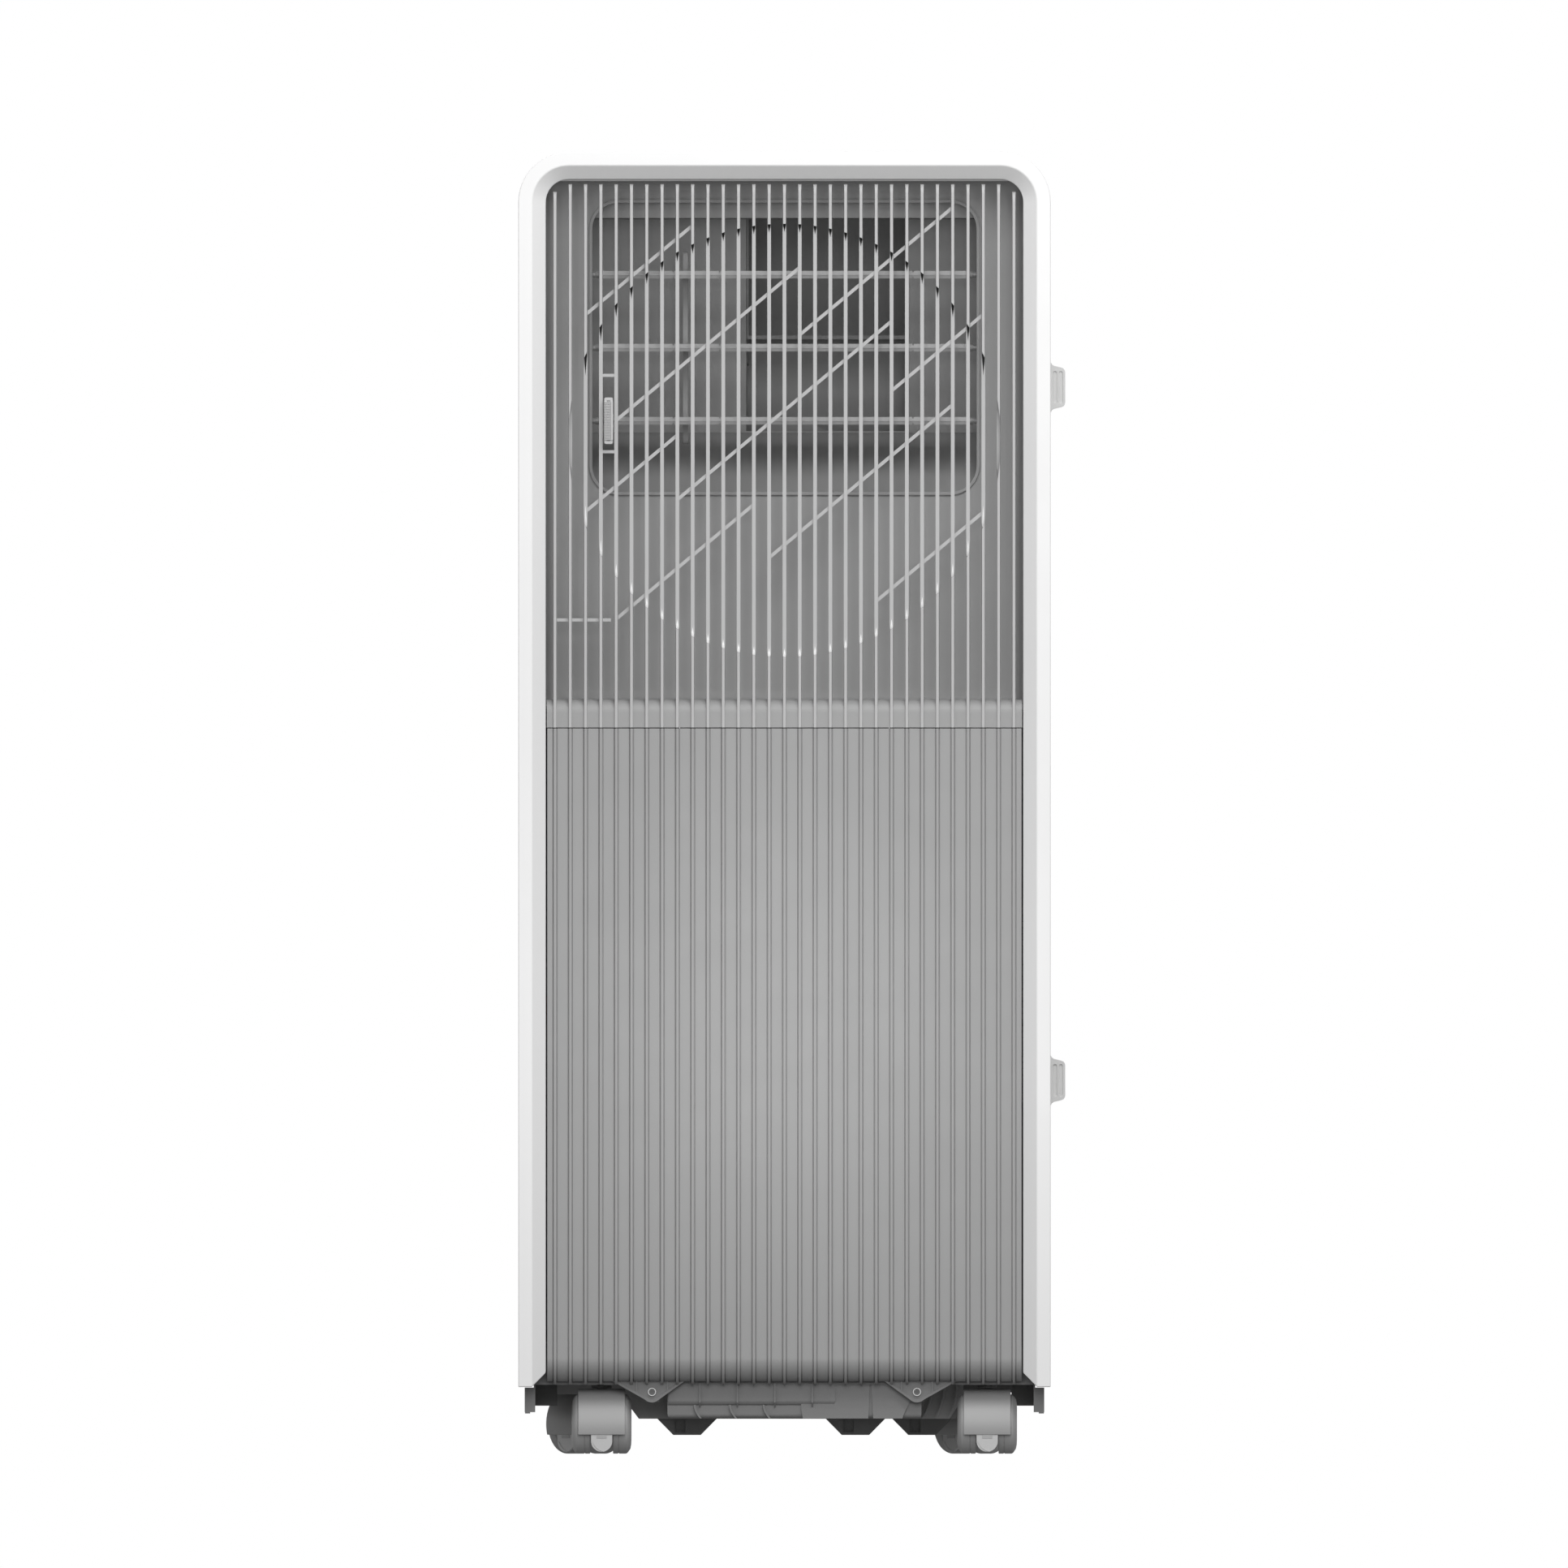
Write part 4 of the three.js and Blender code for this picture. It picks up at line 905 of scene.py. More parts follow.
# ---------------------------------------- control panel
@dataclass
class ControlPanel(SubAssembly):
    """The glossy fascia on top with its display lens and round keys."""

    top: float
    names: tuple[str, ...] = ("power", "mode", "fan_speed", "minus", "plus", "timer")
    key_radius: float = 5.0
    key_y: float = -112.0
    pitch: float = 26.0
    lens_x: UV = (-28.0, 28.0)
    lens_y: UV = (-98.0, -80.0)
    proud: float = -0.1
    flange: float = 6.2

    def key_x(self, index: int) -> float:
        """Where a key stands along the row."""
        return (index - (len(self.names) - 1) / 2) * self.pitch

    def build(self) -> None:
        """Builds the fascia, the lens and the keys."""
        self.fascia()
        self.lens()
        for index, name in enumerate(self.names):
            self.key(index, name)

    def fascia(self) -> None:
        """Models the plate with a hole for each key and a seat for the lens."""
        bench, top = self.bench, self.top
        piece = bench.pad("fascia_plate", Axis.Z, (-99.6, 99.6), (-131.6, -72.4), 5.6, (top - 4.5, top - 0.2))
        bench.round_edges(piece, 0.6, 2, lambda a, b: min(a.z, b.z) > top - 0.3)
        holes = [bench.drum("key_hole", Axis.Z, self.key_radius + 0.3, (top - 9, top + 3),
                            (self.key_x(i), self.key_y))
                 for i in range(len(self.names))]
        seat = bench.pad("lens_seat", Axis.Z, self.lens_x, self.lens_y, 1.5, (top - 3.3, top + 3))
        light = bench.block("lens_light", (-26, 26), (-96, -82), (top - 9, top))
        bench.cut(piece, bench.gather(*holes), seat, light)
        bench.soften(piece, 0.25)
        self.hand_over(piece, FASCIA_BLACK, "cabinet", "control_fascia")

    def lens(self) -> None:
        """Models the display lens with its softly rounded rim."""
        bench, top = self.bench, self.top
        piece = bench.pad("display_window", Axis.Z, (-27.6, 27.6), (-97.6, -80.4), 1.4, (top - 3, top - 0.4))
        bench.soften(piece, 0.4, 3)
        self.hand_over(piece, LENS_BLACK, "cabinet", "display_lens")

    def key(self, index: int, name: str) -> None:
        """Models a key: a dished cap on a flange.

        Args:
            index: its place in the row, from the left.
            name: what it does.
        """
        bench, top = self.bench, self.top
        x = self.key_x(index)
        r, proud, flange = self.key_radius, self.proud, self.flange
        dish = [(top + proud, r - 0.7), (top + proud - 0.15, r - 1.6), (top + proud - 0.5, r - 3.2),
                (top + proud - 0.6, 0.001)]
        profile = [(top - 6.6, 0.001), (top - 6.6, flange), (top - 4.8, flange), (top - 4.8, r),
                   (top + proud - 0.6, r),
                   (top + proud - 0.15, r - 0.2), *dish]
        piece = bench.turned(f"{name}_key_cap", Axis.Z, profile, (x, self.key_y), 40)
        bench.smooth(piece, 30)
        self.hand_over(piece, KEY_GREY, f"key_{name}", f"key_{name}")


# ---------------------------------------- front grille
@dataclass(frozen=True)
class BarSizes:
    """A grille bar's section and the round dish that is sunk into the bars."""

    count: int = 31
    pitch: float = 10.0
    face: float = 1.75
    body: float = 2.4
    shoulder: float = 4.0
    depth: float = 10.5
    split: float = 474.6
    top: float = 829.8
    dish_radius: float = 141.6
    dish_z: float = 662.3
    dish_depth: float = 4.0
    dish_step: float = 2.4
    dish_fillet: float = 4.6

    def x(self, index: float) -> float:
        """Where a bar stands."""
        return (index - (self.count - 1) / 2) * self.pitch


@dataclass(frozen=True)
class Stiffener:
    """A slanting rib from one bar up and to the right to another."""

    first: int
    z: float
    last: int


STIFFENERS = (
    Stiffener(2, 744.5, 9), Stiffener(4, 675.4, 16), Stiffener(16, 731.3, 26), Stiffener(8, 623.6, 22),
    Stiffener(22, 694.7, 28), Stiffener(2, 615.8, 8), Stiffener(4, 545.5, 13), Stiffener(14, 585.7, 26),
    Stiffener(21, 557.2, 28),
)


@dataclass
class FrontGrille(SubAssembly):
    """Upright bars with a round dish sunk into them, slanting stiffeners and the solid apron below."""

    sizes: CasingSizes
    bars: BarSizes
    slant: float = 39.8
    rib_half: float = 1.1
    stops: UV = (654.9, 704.8)
    mark: float = 5.4
    apron_roll: float = 8.0
    apron_top: float = 493.0

    def build(self) -> None:
        """Builds the grille as one moulding."""
        bench, b, face = self.bench, self.bars, self.sizes.bar_face
        piece = self.all_bars()
        bench.cut(piece, self.dish())
        ribs = [self.rib(stiffener) for stiffener in STIFFENERS]
        front, back = face + b.shoulder + 0.5, face + b.depth - 2.4
        for z in self.stops:
            ribs.append(bench.block("stop_rib", (b.x(3), b.x(4)), (front, back), (z - 1, z + 1)))
        ribs.append(bench.block("foot_rib", (b.x(0), b.x(3) + 6.6), (front, back), (543.9, 546.0)))
        bench.weld(piece, bench.gather(*ribs))
        bench.weld(piece, self.frame_bar())
        bench.soften(piece, 0.22, 2, 38)
        self.hand_over(piece, GRILLE_GREY, "cabinet", "front_grille")
        # Drop-shaped marks on the dish rim's steps: painted shadow along the upper half, painted highlight along
        # the lower half.
        self.rim_marks(1, PAINTED_SHADOW_BLACK)
        self.rim_marks(-1, PAINTED_HIGHLIGHT_PALE)
        self.hand_over(self.apron(), PANEL_GREY, "cabinet")

    def all_bars(self) -> Node:
        """Models one bar, repeats it, and shortens the two that end under the round corners.

        Returns:
            The bars, as one piece.
        """
        bench, b, face = self.bench, self.bars, self.sizes.bar_face
        x, y = b.x(0), face
        narrow, wide = b.face / 2, b.body / 2
        back = y + b.depth
        section = [(x - narrow, y), (x + narrow, y), (x + wide, y + b.shoulder), (x + wide, back), (x - wide, back),
                   (x - wide, y + b.shoulder)]
        piece = bench.prism("grille_bars", Axis.Z, section, (b.split, b.top))
        bench.round_edges(piece, 6.5, 8, lambda p, q: min(p.z, q.z) > b.top - 1 and max(p.y, q.y) < y + 0.1)
        bench.repeat(piece, b.count, (b.pitch, 0, 0))
        edge = abs(b.x(0)) - 3
        bench.pick_faces(piece, lambda c, n: abs(c.x) > edge and c.z > b.top - 8)
        bpy.ops.transform.translate(value=(0, 0, -5 * MM))
        bpy.ops.object.mode_set(mode="OBJECT")
        return piece

    def dish_wall(self) -> list[UV]:
        """The steep step below the dish's sharp rim and the hollow fillet at its foot, as (y, radius).

        Returns:
            Pairs of (y, radius), from the rim inwards.
        """
        b, face = self.bars, self.sizes.bar_face
        steep, r = b.dish_step, b.dish_radius
        wall = [(face, r), (face + b.dish_depth * 0.35, r - steep * 0.2),
                (face + b.dish_depth * 0.7, r - steep * 0.6)]
        foot = r - steep - b.dish_fillet
        for i in range(6):
            t = i / 5
            wall.append((face + b.dish_depth * (1 - 0.12 * (1 - t) ** 2), foot + b.dish_fillet * (1 - t)))
        return wall

    def dish(self) -> Node:
        """Models the shape of the round dish.

        Returns:
            The cutting shape.
        """
        b, face = self.bars, self.sizes.bar_face
        profile = [(face - 6, 0.001), (face - 6, b.dish_radius), *self.dish_wall(), (face + b.dish_depth, 0.001)]
        return self.bench.turned("dish_form", Axis.Y, profile, (0, b.dish_z), 180)

    def rim_marks(self, half_turn: int, finish: Finish) -> None:
        """Models drop-shaped marks on the bars' steps: painted shadow along the rim's upper half (1), painted
        highlight along its lower half (-1).

        Args:
            half_turn: 1 for the upper half, -1 for the lower.
            finish: the marks' finish, painted shadow or painted highlight.
        """
        bench, b = self.bench, self.bars
        made = []
        for i in range(b.count):
            x = b.x(i)
            if abs(x) > b.dish_radius - 5:
                continue
            z = b.dish_z + half_turn * math.sqrt(b.dish_radius ** 2 - x ** 2)
            lean = 1 / math.cos(math.asin(x / b.dish_radius))
            half = b.face / 2 - 0.05
            drop = [(-half, 0.4), (-half, -1.2), (-half * 0.72, -2.2 * lean), (0, -self.mark * lean),
                    (half * 0.72, -2.2 * lean), (half, -1.2), (half, 0.4)]
            made.append(bench.prism("rim_marks", Axis.Y, [(x + u, z + half_turn * v) for u, v in drop],
                                    (self.sizes.bar_face - 1, self.sizes.bar_face + 6)))
        piece = bench.gather(*made)
        wall = self.dish_wall()
        skin = [(y - 0.1, r - 0.03) for y, r in wall] + [(y + 0.4, r + 0.1) for y, r in reversed(wall)]
        bench.keep_common(piece, bench.turned("rim_skin", Axis.Y, skin, (0, b.dish_z), 180))
        bench.smooth(piece)
        self.hand_over(piece, finish, "cabinet")

    def rib(self, stiffener: Stiffener) -> Node:
        """Models one slanting stiffener between its two bars.

        Args:
            stiffener: where it runs.

        Returns:
            The rib.
        """
        b, face = self.bars, self.sizes.bar_face
        left, right = b.x(stiffener.first), b.x(stiffener.last)
        slant = math.radians(self.slant)
        rise = (right - left) * math.tan(slant)
        up = self.rib_half / math.cos(slant)
        z = stiffener.z
        outline = [(left, z - up), (right, z + rise - up), (right, z + rise + up), (left, z + up)]
        return self.bench.prism("slant_rib", Axis.Y, outline, (face + b.shoulder + 2.2, face + b.depth - 1.1))

    def apron(self) -> Node:
        """Models the solid strip below the bars, whose upper edge rolls back into the recess.

        Returns:
            The new piece.
        """
        b, face = self.bars, self.sizes.bar_face
        front = face + 2.0
        r = self.apron_roll
        roll = arc((front + r, self.apron_top - r), r, 180, 90, 8)
        outline = [(front, b.split), *roll, (front + r + 3, self.apron_top), (front + r + 3, self.apron_top - 3),
                   *arc((front + r, self.apron_top - r), r - 3, 90, 180, 6), (front + 3, b.split)]
        half = self.sizes.inner - 0.7
        return self.bench.prism("apron", Axis.X, outline, (-half, half))

    def frame_bar(self) -> Node:
        """Models the flat bar that ties the bars together behind the casing's upper rim.

        Returns:
            The bar.
        """
        b, face = self.bars, self.sizes.bar_face
        half = self.sizes.inner - 8
        top = self.sizes.top - self.sizes.band - self.sizes.slope
        back = face + b.depth
        return self.bench.block("tie_bar", (-half, half), (back - 2.5, back), (top - 1.2, top + 4))


# ---------------------------------------- lower front panel
@dataclass
class LowerPanel(SubAssembly):
    """The fluted panel below the grille, with its foot turned back and a screw tab on each side."""

    sizes: CasingSizes
    bars: BarSizes
    flute: float = 2.0
    wall: float = 2.2
    groove: float = 0.6
    groove_depth: float = 0.7
    hem: float = 15.0
    foot: float = 47.2
    split: float = 474.0
    tab_x: float = 86.6
    tab_foot: float = 32.9
    tab_outer: float = 29.3
    tab_inner: float = 24.0
    tab_y: float = -146.0
    screw_z: float = 40.3

    def build(self) -> None:
        """Builds the panel with its tabs, and the two screws."""
        piece = self.skin()
        self.bench.smooth(piece, 30)
        self.hand_over(piece, PANEL_GREY, "cabinet", "lower_front_panel")
        for side in Side:
            self.hand_over(self.bench.smooth(self.tab(side)), BASE_GREY, "cabinet")
            self.screw(side)

    def skin(self) -> Node:
        """Models one flute's width of the sheet, spins its foot back, and repeats it across the front.

        Returns:
            The new piece.
        """
        bench, b = self.bench, self.bars
        turn = self.foot + self.hem
        x, y, half = b.x(0), self.sizes.bar_face + self.flute, b.pitch / 2
        piece = bench.prism("fluted_panel", Axis.Z, self.section(x, y, half), (turn, self.split))
        bench.pick_faces(piece, lambda c, n: n.z < -0.9)
        bpy.ops.mesh.spin(steps=9, angle=math.radians(-90), center=bench.datum.metres((0, y + self.hem, turn)),
                          axis=(1, 0, 0))
        bpy.ops.object.mode_set(mode="OBJECT")
        bench.open_up(piece, lambda c, n: abs(n.x) > 0.9 and abs(abs(c.x - x) - half) < 0.1)
        bench.modify(piece, "ARRAY", count=b.count, use_relative_offset=False, use_constant_offset=True,
                     constant_offset_displace=Vector((b.pitch, 0, 0)) * MM, use_merge_vertices=True,
                     merge_threshold=0.01 * MM)
        bench.edit(piece)
        bpy.ops.mesh.fill_holes(sides=0)
        bench.face_out()
        return piece

    def section(self, x: float, y: float, half: float) -> list[UV]:
        """The sheet's section over one flute: the flute with its rounded edges and a groove on either side.

        Args:
            x: the flute's middle.
            y: the sheet's front.
            half: half the flute's pitch.

        Returns:
            The section's corners, as (x, y).
        """
        rib, out, deep = self.bars.face / 2, self.bars.face / 2 + self.groove, self.groove_depth
        side = [(half, y), (out + 0.15, y), (out, y + 0.15), (out - 0.1, y + deep), (rib, y + deep),
                (rib, y - self.flute + 0.35), (rib - 0.12, y - self.flute + 0.1), (rib - 0.35, y - self.flute)]
        front = [(x - u, v) for u, v in side] + [(x + u, v) for u, v in reversed(side)]
        return [*front, (x + half, y + self.wall), (x - half, y + self.wall)]

    def tab(self, side: Side) -> Node:
        """Models a pointed screw tab: a raised rim round a plate with two upright ribs.

        Args:
            side: the side it is on.

        Returns:
            The new piece.
        """
        bench = self.bench
        x = side.value * self.tab_x
        foot, y = self.tab_foot, self.tab_y
        top = self.foot + 2

        def vee(inset: float) -> list[UV]:
            """The tab's outline, drawn in from its rim.

            Args:
                inset: how far it is drawn in.

            Returns:
                Its corners, as (x, z).
            """
            tip = arc((x, foot + 7 + inset * 0.4), 6.5 - inset, 225, 315, 6)
            outer, inner = self.tab_outer - inset * 2.0, self.tab_inner - inset * 1.7
            left, right = (outer, inner) if side is Side.LEFT else (inner, outer)
            return [(x - left, top), *tip, (x + right, top)]

        piece = bench.prism("screw_tab", Axis.Y, vee(0), (y, y + 4))
        bench.cut(piece, bench.prism("tab_hollow", Axis.Y, [(u, v + 0.01) for u, v in vee(1.3)], (y - 1, y + 1.4)))
        ribs = [bench.block("tab_rib", (x + d - 0.55, x + d + 0.55), (y + 0.2, y + 2.4), (foot + 6.5, top - 0.5))
                for d in (-10.1, 10.1)]
        bench.weld(piece, *ribs)
        bench.cut(piece, bench.drum("tab_hole", Axis.Y, 1.6, (y - 1, y + 6), (x, self.screw_z), 24))
        bench.modify(piece, "BEVEL", width=0.25 * MM, segments=2, limit_method="ANGLE",
                     angle_limit=math.radians(40))
        return piece

    def screw(self, side: Side) -> None:
        """Models a screw with a domed head and a driver socket, and a pale ring on the head's rim as a painted
        highlight.

        Args:
            side: the side it is on.
        """
        bench = self.bench
        x = side.value * self.tab_x
        y = self.tab_y + 1.4
        profile = [(y + 9, 0.001), (y + 9, 1.3), (y, 1.3), (y, 2.7), (y - 0.9, 2.75), (y - 1.5, 2.5),
                   (y - 1.6, 2.15),
                   (y - 1.3, 1.8), (y - 1.3, 0.001)]
        piece = bench.turned(f"{side.name.lower()}_panel_screw", Axis.Y, profile, (x, self.screw_z), 32)
        cross = [bench.block("driver_slot", (x - u, x + u), (y - 2, y - 0.7), (self.screw_z - v, self.screw_z + v))
                 for u, v in ((1.25, 0.3), (0.3, 1.25))]
        bench.cut(piece, *cross)
        bench.smooth(piece, 40)
        # The pale ring on the head's rim is a painted highlight.
        ring = bench.turned(f"{side.name.lower()}_screw_ring", Axis.Y, [
            (y - 1.2, 2.05), (y - 1.75, 2.1), (y - 1.85, 2.3), (y - 1.75, 2.6), (y - 1.2, 2.72)], (x, self.screw_z),
            48)
        bench.smooth(ring, 60)
        self.hand_over(ring, SCREW_RIM_PAINTED_HIGHLIGHT, "cabinet")
        self.hand_over(piece, SCREW_DARK, "cabinet", f"panel_screw_{side.name.lower()}")


# ---------------------------------------- air outlet
@dataclass(frozen=True)
class OutletSizes:
    """The outlet window, the duct behind it and the louvers in it."""

    half: float = 125.5
    low: float = 628.7
    high: float = 817.5
    corner: float = 17.0
    wall_y: float = -125.0
    back_y: float = -58.0
    mouth_x: UV = (-22.0, 79.8)
    mouth_z: UV = (668.4, 806.9)
    louver_y: float = -112.0
    louver_z: tuple[float, float, float] = (675.1, 722.9, 770.6)
    chord: float = 40.0
    thick: float = 5.0
    crank: float = 16.0
    link_x: float = -63.4
    knob_x: float = -115.0
    knob_half: UV = (15.3, 2.9)
    header: float = 8.0


@dataclass
class AirOutlet(SubAssembly):
    """The recess behind the bars: its wall with the outlet window, the duct, three louvers and their knob."""

    sizes: CasingSizes
    outlet: OutletSizes

    def build(self) -> None:
        """Builds the recess, the duct, the louvers, their link and their knob."""
        self.housing()
        self.duct()
        blade = self.louver("lower_blade", 0)
        others = [(self.bench.twin(blade, f"{n}_blade"), n, i) for i, n in ((1, "middle"), (2, "upper"))]
        self.hand_over(blade, LOUVER_GREY, "louver_lower", "louver_lower")
        for piece, name, index in others:
            self.bench.place(piece, (0, 0, self.outlet.louver_z[index] - self.outlet.louver_z[0]))
            self.hand_over(piece, LOUVER_GREY, f"louver_{name}", f"louver_{name}")
        self.link()
        self.knob()

    def housing(self) -> None:
        """Models the recess as an open tray with rounded walls, then cuts the window and adds its lip."""
        s, o, bench = self.sizes, self.outlet, self.bench
        front, half = s.bar_face + 11, s.inner + 0.6
        top = s.top - s.band - s.slope + 0.6
        piece = bench.block("recess_tray", (-half, half), (front, o.wall_y), (488.5, top))
        bench.round_edges(piece, s.corner - s.band - s.slope, 10, lambda a, b: min(a.z, b.z) > top - 1
                          and abs(a.y - b.y) > 1 and abs(a.x) > half - 1)
        bench.open_up(piece, lambda c, n: n.y < -0.9)
        bench.round_edges(piece, 12, 8, lambda a, b: min(a.y, b.y) > o.wall_y - 0.1)
        bench.edit(piece)
        bpy.ops.mesh.normals_make_consistent(inside=False)
        bpy.ops.object.mode_set(mode="OBJECT")
        bench.thicken(piece, -2.3)
        lip = bench.pad("window_lip", Axis.Y, (-o.half - 2.2, o.half + 2.2), (o.low - 2.2, o.high + 2.2),
                        o.corner + 2.2,
                        (o.wall_y - 1.2, o.wall_y + 1))
        bench.weld(piece, lip)
        hole = bench.pad("window", Axis.Y, (-o.half, o.half), (o.low, o.high), o.corner, past(o.wall_y))
        bench.cut(piece, hole)
        bench.soften(piece, 0.4)
        ring, core = (bench.pad("lip_groove", Axis.Y, (-o.half - g, o.half + g), (o.low - g, o.high + g),
                                o.corner + g,
                                ys) for g, ys in ((3.3, (o.wall_y - 2, o.wall_y + 1.1)), (2.2, (-200, 0))))
        bench.cut(piece, bench.cut(ring, core))
        self.hand_over(bench.smooth(piece), INNER_GREY, "cabinet", "outlet_housing")

    def duct(self) -> None:
        """Models the duct: a rounded box with a sloping floor and roof and the blower's mouth in its back."""
        o, bench = self.outlet, self.bench
        front, back, wall = o.wall_y + 2.8, o.back_y, 2.5
        piece = bench.pad("air_duct", Axis.Y, (-o.half - wall, o.half + wall), (o.low - wall, o.high + wall),
                          o.corner + wall, (front, back), 10)
        hollow = bench.pad("hollow", Axis.Y, (-o.half, o.half), (o.low, o.high), o.corner, (front - 5, back - wall),
                           10)
        bench.cut(piece, hollow)
        half = o.half + 1
        ramp = bench.prism("ramp", Axis.X, [(front, o.low - 1), (back - 1, o.low - 1), (back - 1, o.mouth_z[0])],
                           (-half, half))
        roof = bench.prism("roof", Axis.X, [(front + o.header, o.high + 1), (front + o.header, o.mouth_z[1] + 0.8),
                                            (back - 1, o.mouth_z[1]), (back - 1, o.high + 1)], (-half, half))
        bench.weld(piece, ramp, roof)
        mouth = bench.block("mouth", o.mouth_x, past(back), o.mouth_z)
        left = o.mouth_x[0]
        flare = bench.prism("flare", Axis.Z, [(left - 3, back - 9), (left - 3, back - wall), (left, back + 9),
                                              (left + 1, back - 9)], o.mouth_z)
        pins = [bench.drum("pin_hole", Axis.X, 1.95, past(-half, half), (o.louver_y, z), 24) for z in o.louver_z]
        bench.cut(piece, mouth, flare, bench.gather(*pins))
        bench.soften(piece, 0.5)
        self.hand_over(piece, INNER_GREY, "cabinet", "outlet_duct")

    def louver(self, name: str, index: int) -> Node:
        """Models a blade with a blunt ridged front, a tapered back, a spine, end pins and the link's notch.

        Args:
            name: the piece's name.
            index: which louver, from the lowest.

        Returns:
            The new piece.
        """
        o, bench = self.outlet, self.bench
        z, y, half = o.louver_z[index], o.louver_y, o.chord / 2
        steps = 10
        tips = [-1 + 2 * i / steps for i in range(steps + 1)]
        rise = [0.7 + (o.thick / 2 - 0.7) * (1 if t < 0 else 1 - t * t) for t in tips]
        section = [(y - half, z), *((y + t * half + 0.5 * (t == -1), z - v) for t, v in zip(tips, rise)),
                   *((y + t * half + 0.5 * (t == -1), z + v) for t, v in zip(reversed(tips), reversed(rise)))]
        piece = bench.prism(name, Axis.X, section, (-121, 121))
        grooves = [bench.block("groove", (x - 0.4, x + 0.4), (y - half - 1, y + half + 1),
                               (z + s * 2.6, z + s * 1.5))
                   for x in (-72.6, -42.3, 30, 84) for s in (-1, 1)]
        notch = bench.block("notch", (o.link_x - 6, o.link_x + 4), (y + 9, y + half + 1), (z - 4, z + 4))
        bench.cut(piece, bench.gather(*grooves), notch)
        spine = bench.block("spine", (-119, 119), (y - half - 0.25, y - half + 2), (z - 0.35, z + 0.35))
        pin_half = o.half + 2
        profile = [(-pin_half, 0.001), (-pin_half, 1.2), (-pin_half + 0.5, 1.7), (-123.4, 1.7), (-123.2, 2.3),
                   (-120.5, 2.3), (-120.5, 0.001)]
        pins = [bench.turned("pivot_pin", Axis.X, [(s * w, r) for w, r in profile], (y, z), 24) for s in (-1, 1)]
        link_pin = bench.drum("link_pin", Axis.X, 1.2, (o.link_x - 8, o.link_x + 4.5), (y + o.crank, z), 20)
        bench.weld(piece, spine, *pins, link_pin)
        bench.soften(piece, 0.2)
        return piece

    def link(self) -> None:
        """Models the flat rod that joins the three blades, with a rounded end and a hole for each pin."""
        o, bench = self.outlet, self.bench
        y = o.louver_y + o.crank
        span = (o.louver_z[0] - 15, o.louver_z[2] + 15)
        piece = bench.pad("louver_link_rod", Axis.X, (y - 3, y + 3), span, 2.9, (o.link_x - 3, o.link_x + 0.4), 6)
        holes = [bench.drum("hole", Axis.X, 1.55, past(o.link_x), (y, z), 24) for z in o.louver_z]
        bench.cut(piece, bench.gather(*holes))
        bench.soften(piece, 0.3)
        self.hand_over(piece, INNER_GREY, "louver_link", "louver_link")

    def knob(self) -> None:
        """Models the serrated knob on its lever, which forks round the lowest blade."""
        o, bench = self.outlet, self.bench
        x, z = o.knob_x, o.louver_z[0]
        front, back = self.sizes.bar_face - 3, self.sizes.bar_face + 3
        half, width = o.knob_half
        piece = bench.pad("louver_lever", Axis.Y, (x - width, x + width), (z - half, z + half), 1.2,
                          (front + 1.2, back), 4)
        bench.round_edges(piece, 0.5, 2, lambda a, b: max(a.y, b.y) < front + 1.3)
        slots = [bench.pad("knob_slot", Axis.Y, (x - 1.2, x + 1.2), (z + s * 12.9 - 0.5, z + s * 12.9 + 0.5), 0.4,
                           (front - 1, front + 3), 3) for s in (-1, 1)]
        bench.cut(piece, bench.gather(*slots))
        pitch, teeth = 1.05, 24
        first = z - (teeth - 1) / 2 * pitch
        tooth = bench.block("tooth", (x - width, x + width - 1.6), (front, front + 1.6), (first - 0.3, first + 0.3))
        bench.soften(tooth, 0.12)
        bench.repeat(tooth, teeth, (0, 0, pitch))
        rim = bench.block("rim", (x + width - 1.3, x + width), (front + 0.4, front + 1.6), (z - 12.6, z + 12.6))
        nubs = [bench.block("nub", (x + width - 0.5, x + width + 0.25), (front + 1.2, back - 1),
                            (z + c - 0.6, z + c + 0.6))
                for c in (-3.6, 3.6)]
        edge = o.louver_y - o.chord / 2
        arm = bench.block("arm", (x - 1.5, x + 1.5), (back - 1, edge - 1.5), (z - 3, z + 3))
        fork = bench.block("fork", (x - 3, x + 3), (edge - 3, o.louver_y - 5), (z - 5, z + 5))
        gap = bench.prism("gap", Axis.X, [(edge - 0.5, z - 1.2), (o.louver_y - 4, z - 2.9),
                                          (o.louver_y - 4, z + 2.9),
                                          (edge - 0.5, z + 1.2)], past(x))
        bench.cut(fork, gap)
        bench.weld(piece, rim, *nubs, arm, fork)
        bench.soften(piece, 0.15)
        bench.gather(piece, tooth)
        self.hand_over(piece, KNOB_GREY, "louver_lower", "louver_knob")


# ---------------------------------------- rear
@dataclass(frozen=True)
class RearSizes:
    """The rear cover, its intakes and what stands in it."""

    front: float = 96.3
    back: float = 156.0
    wall: float = 3.0
    port_z: float = 465.0
    port_r: float = 62.0
    collar_back: float = 170.0
    filters: tuple[tuple[str, float, float], ...] = (("upper", 697.0, 128.0), ("lower", 244.0, 116.0))
    drains: tuple[tuple[str, float, float], ...] = (("upper", 120.0, 545.0), ("lower", 104.0, 61.0))
    gland: UV = (-128.0, 92.0)
    filter_y: UV = (139.0, 145.4)
    filter_left: float = -137.0
    tab_out: float = 9.5


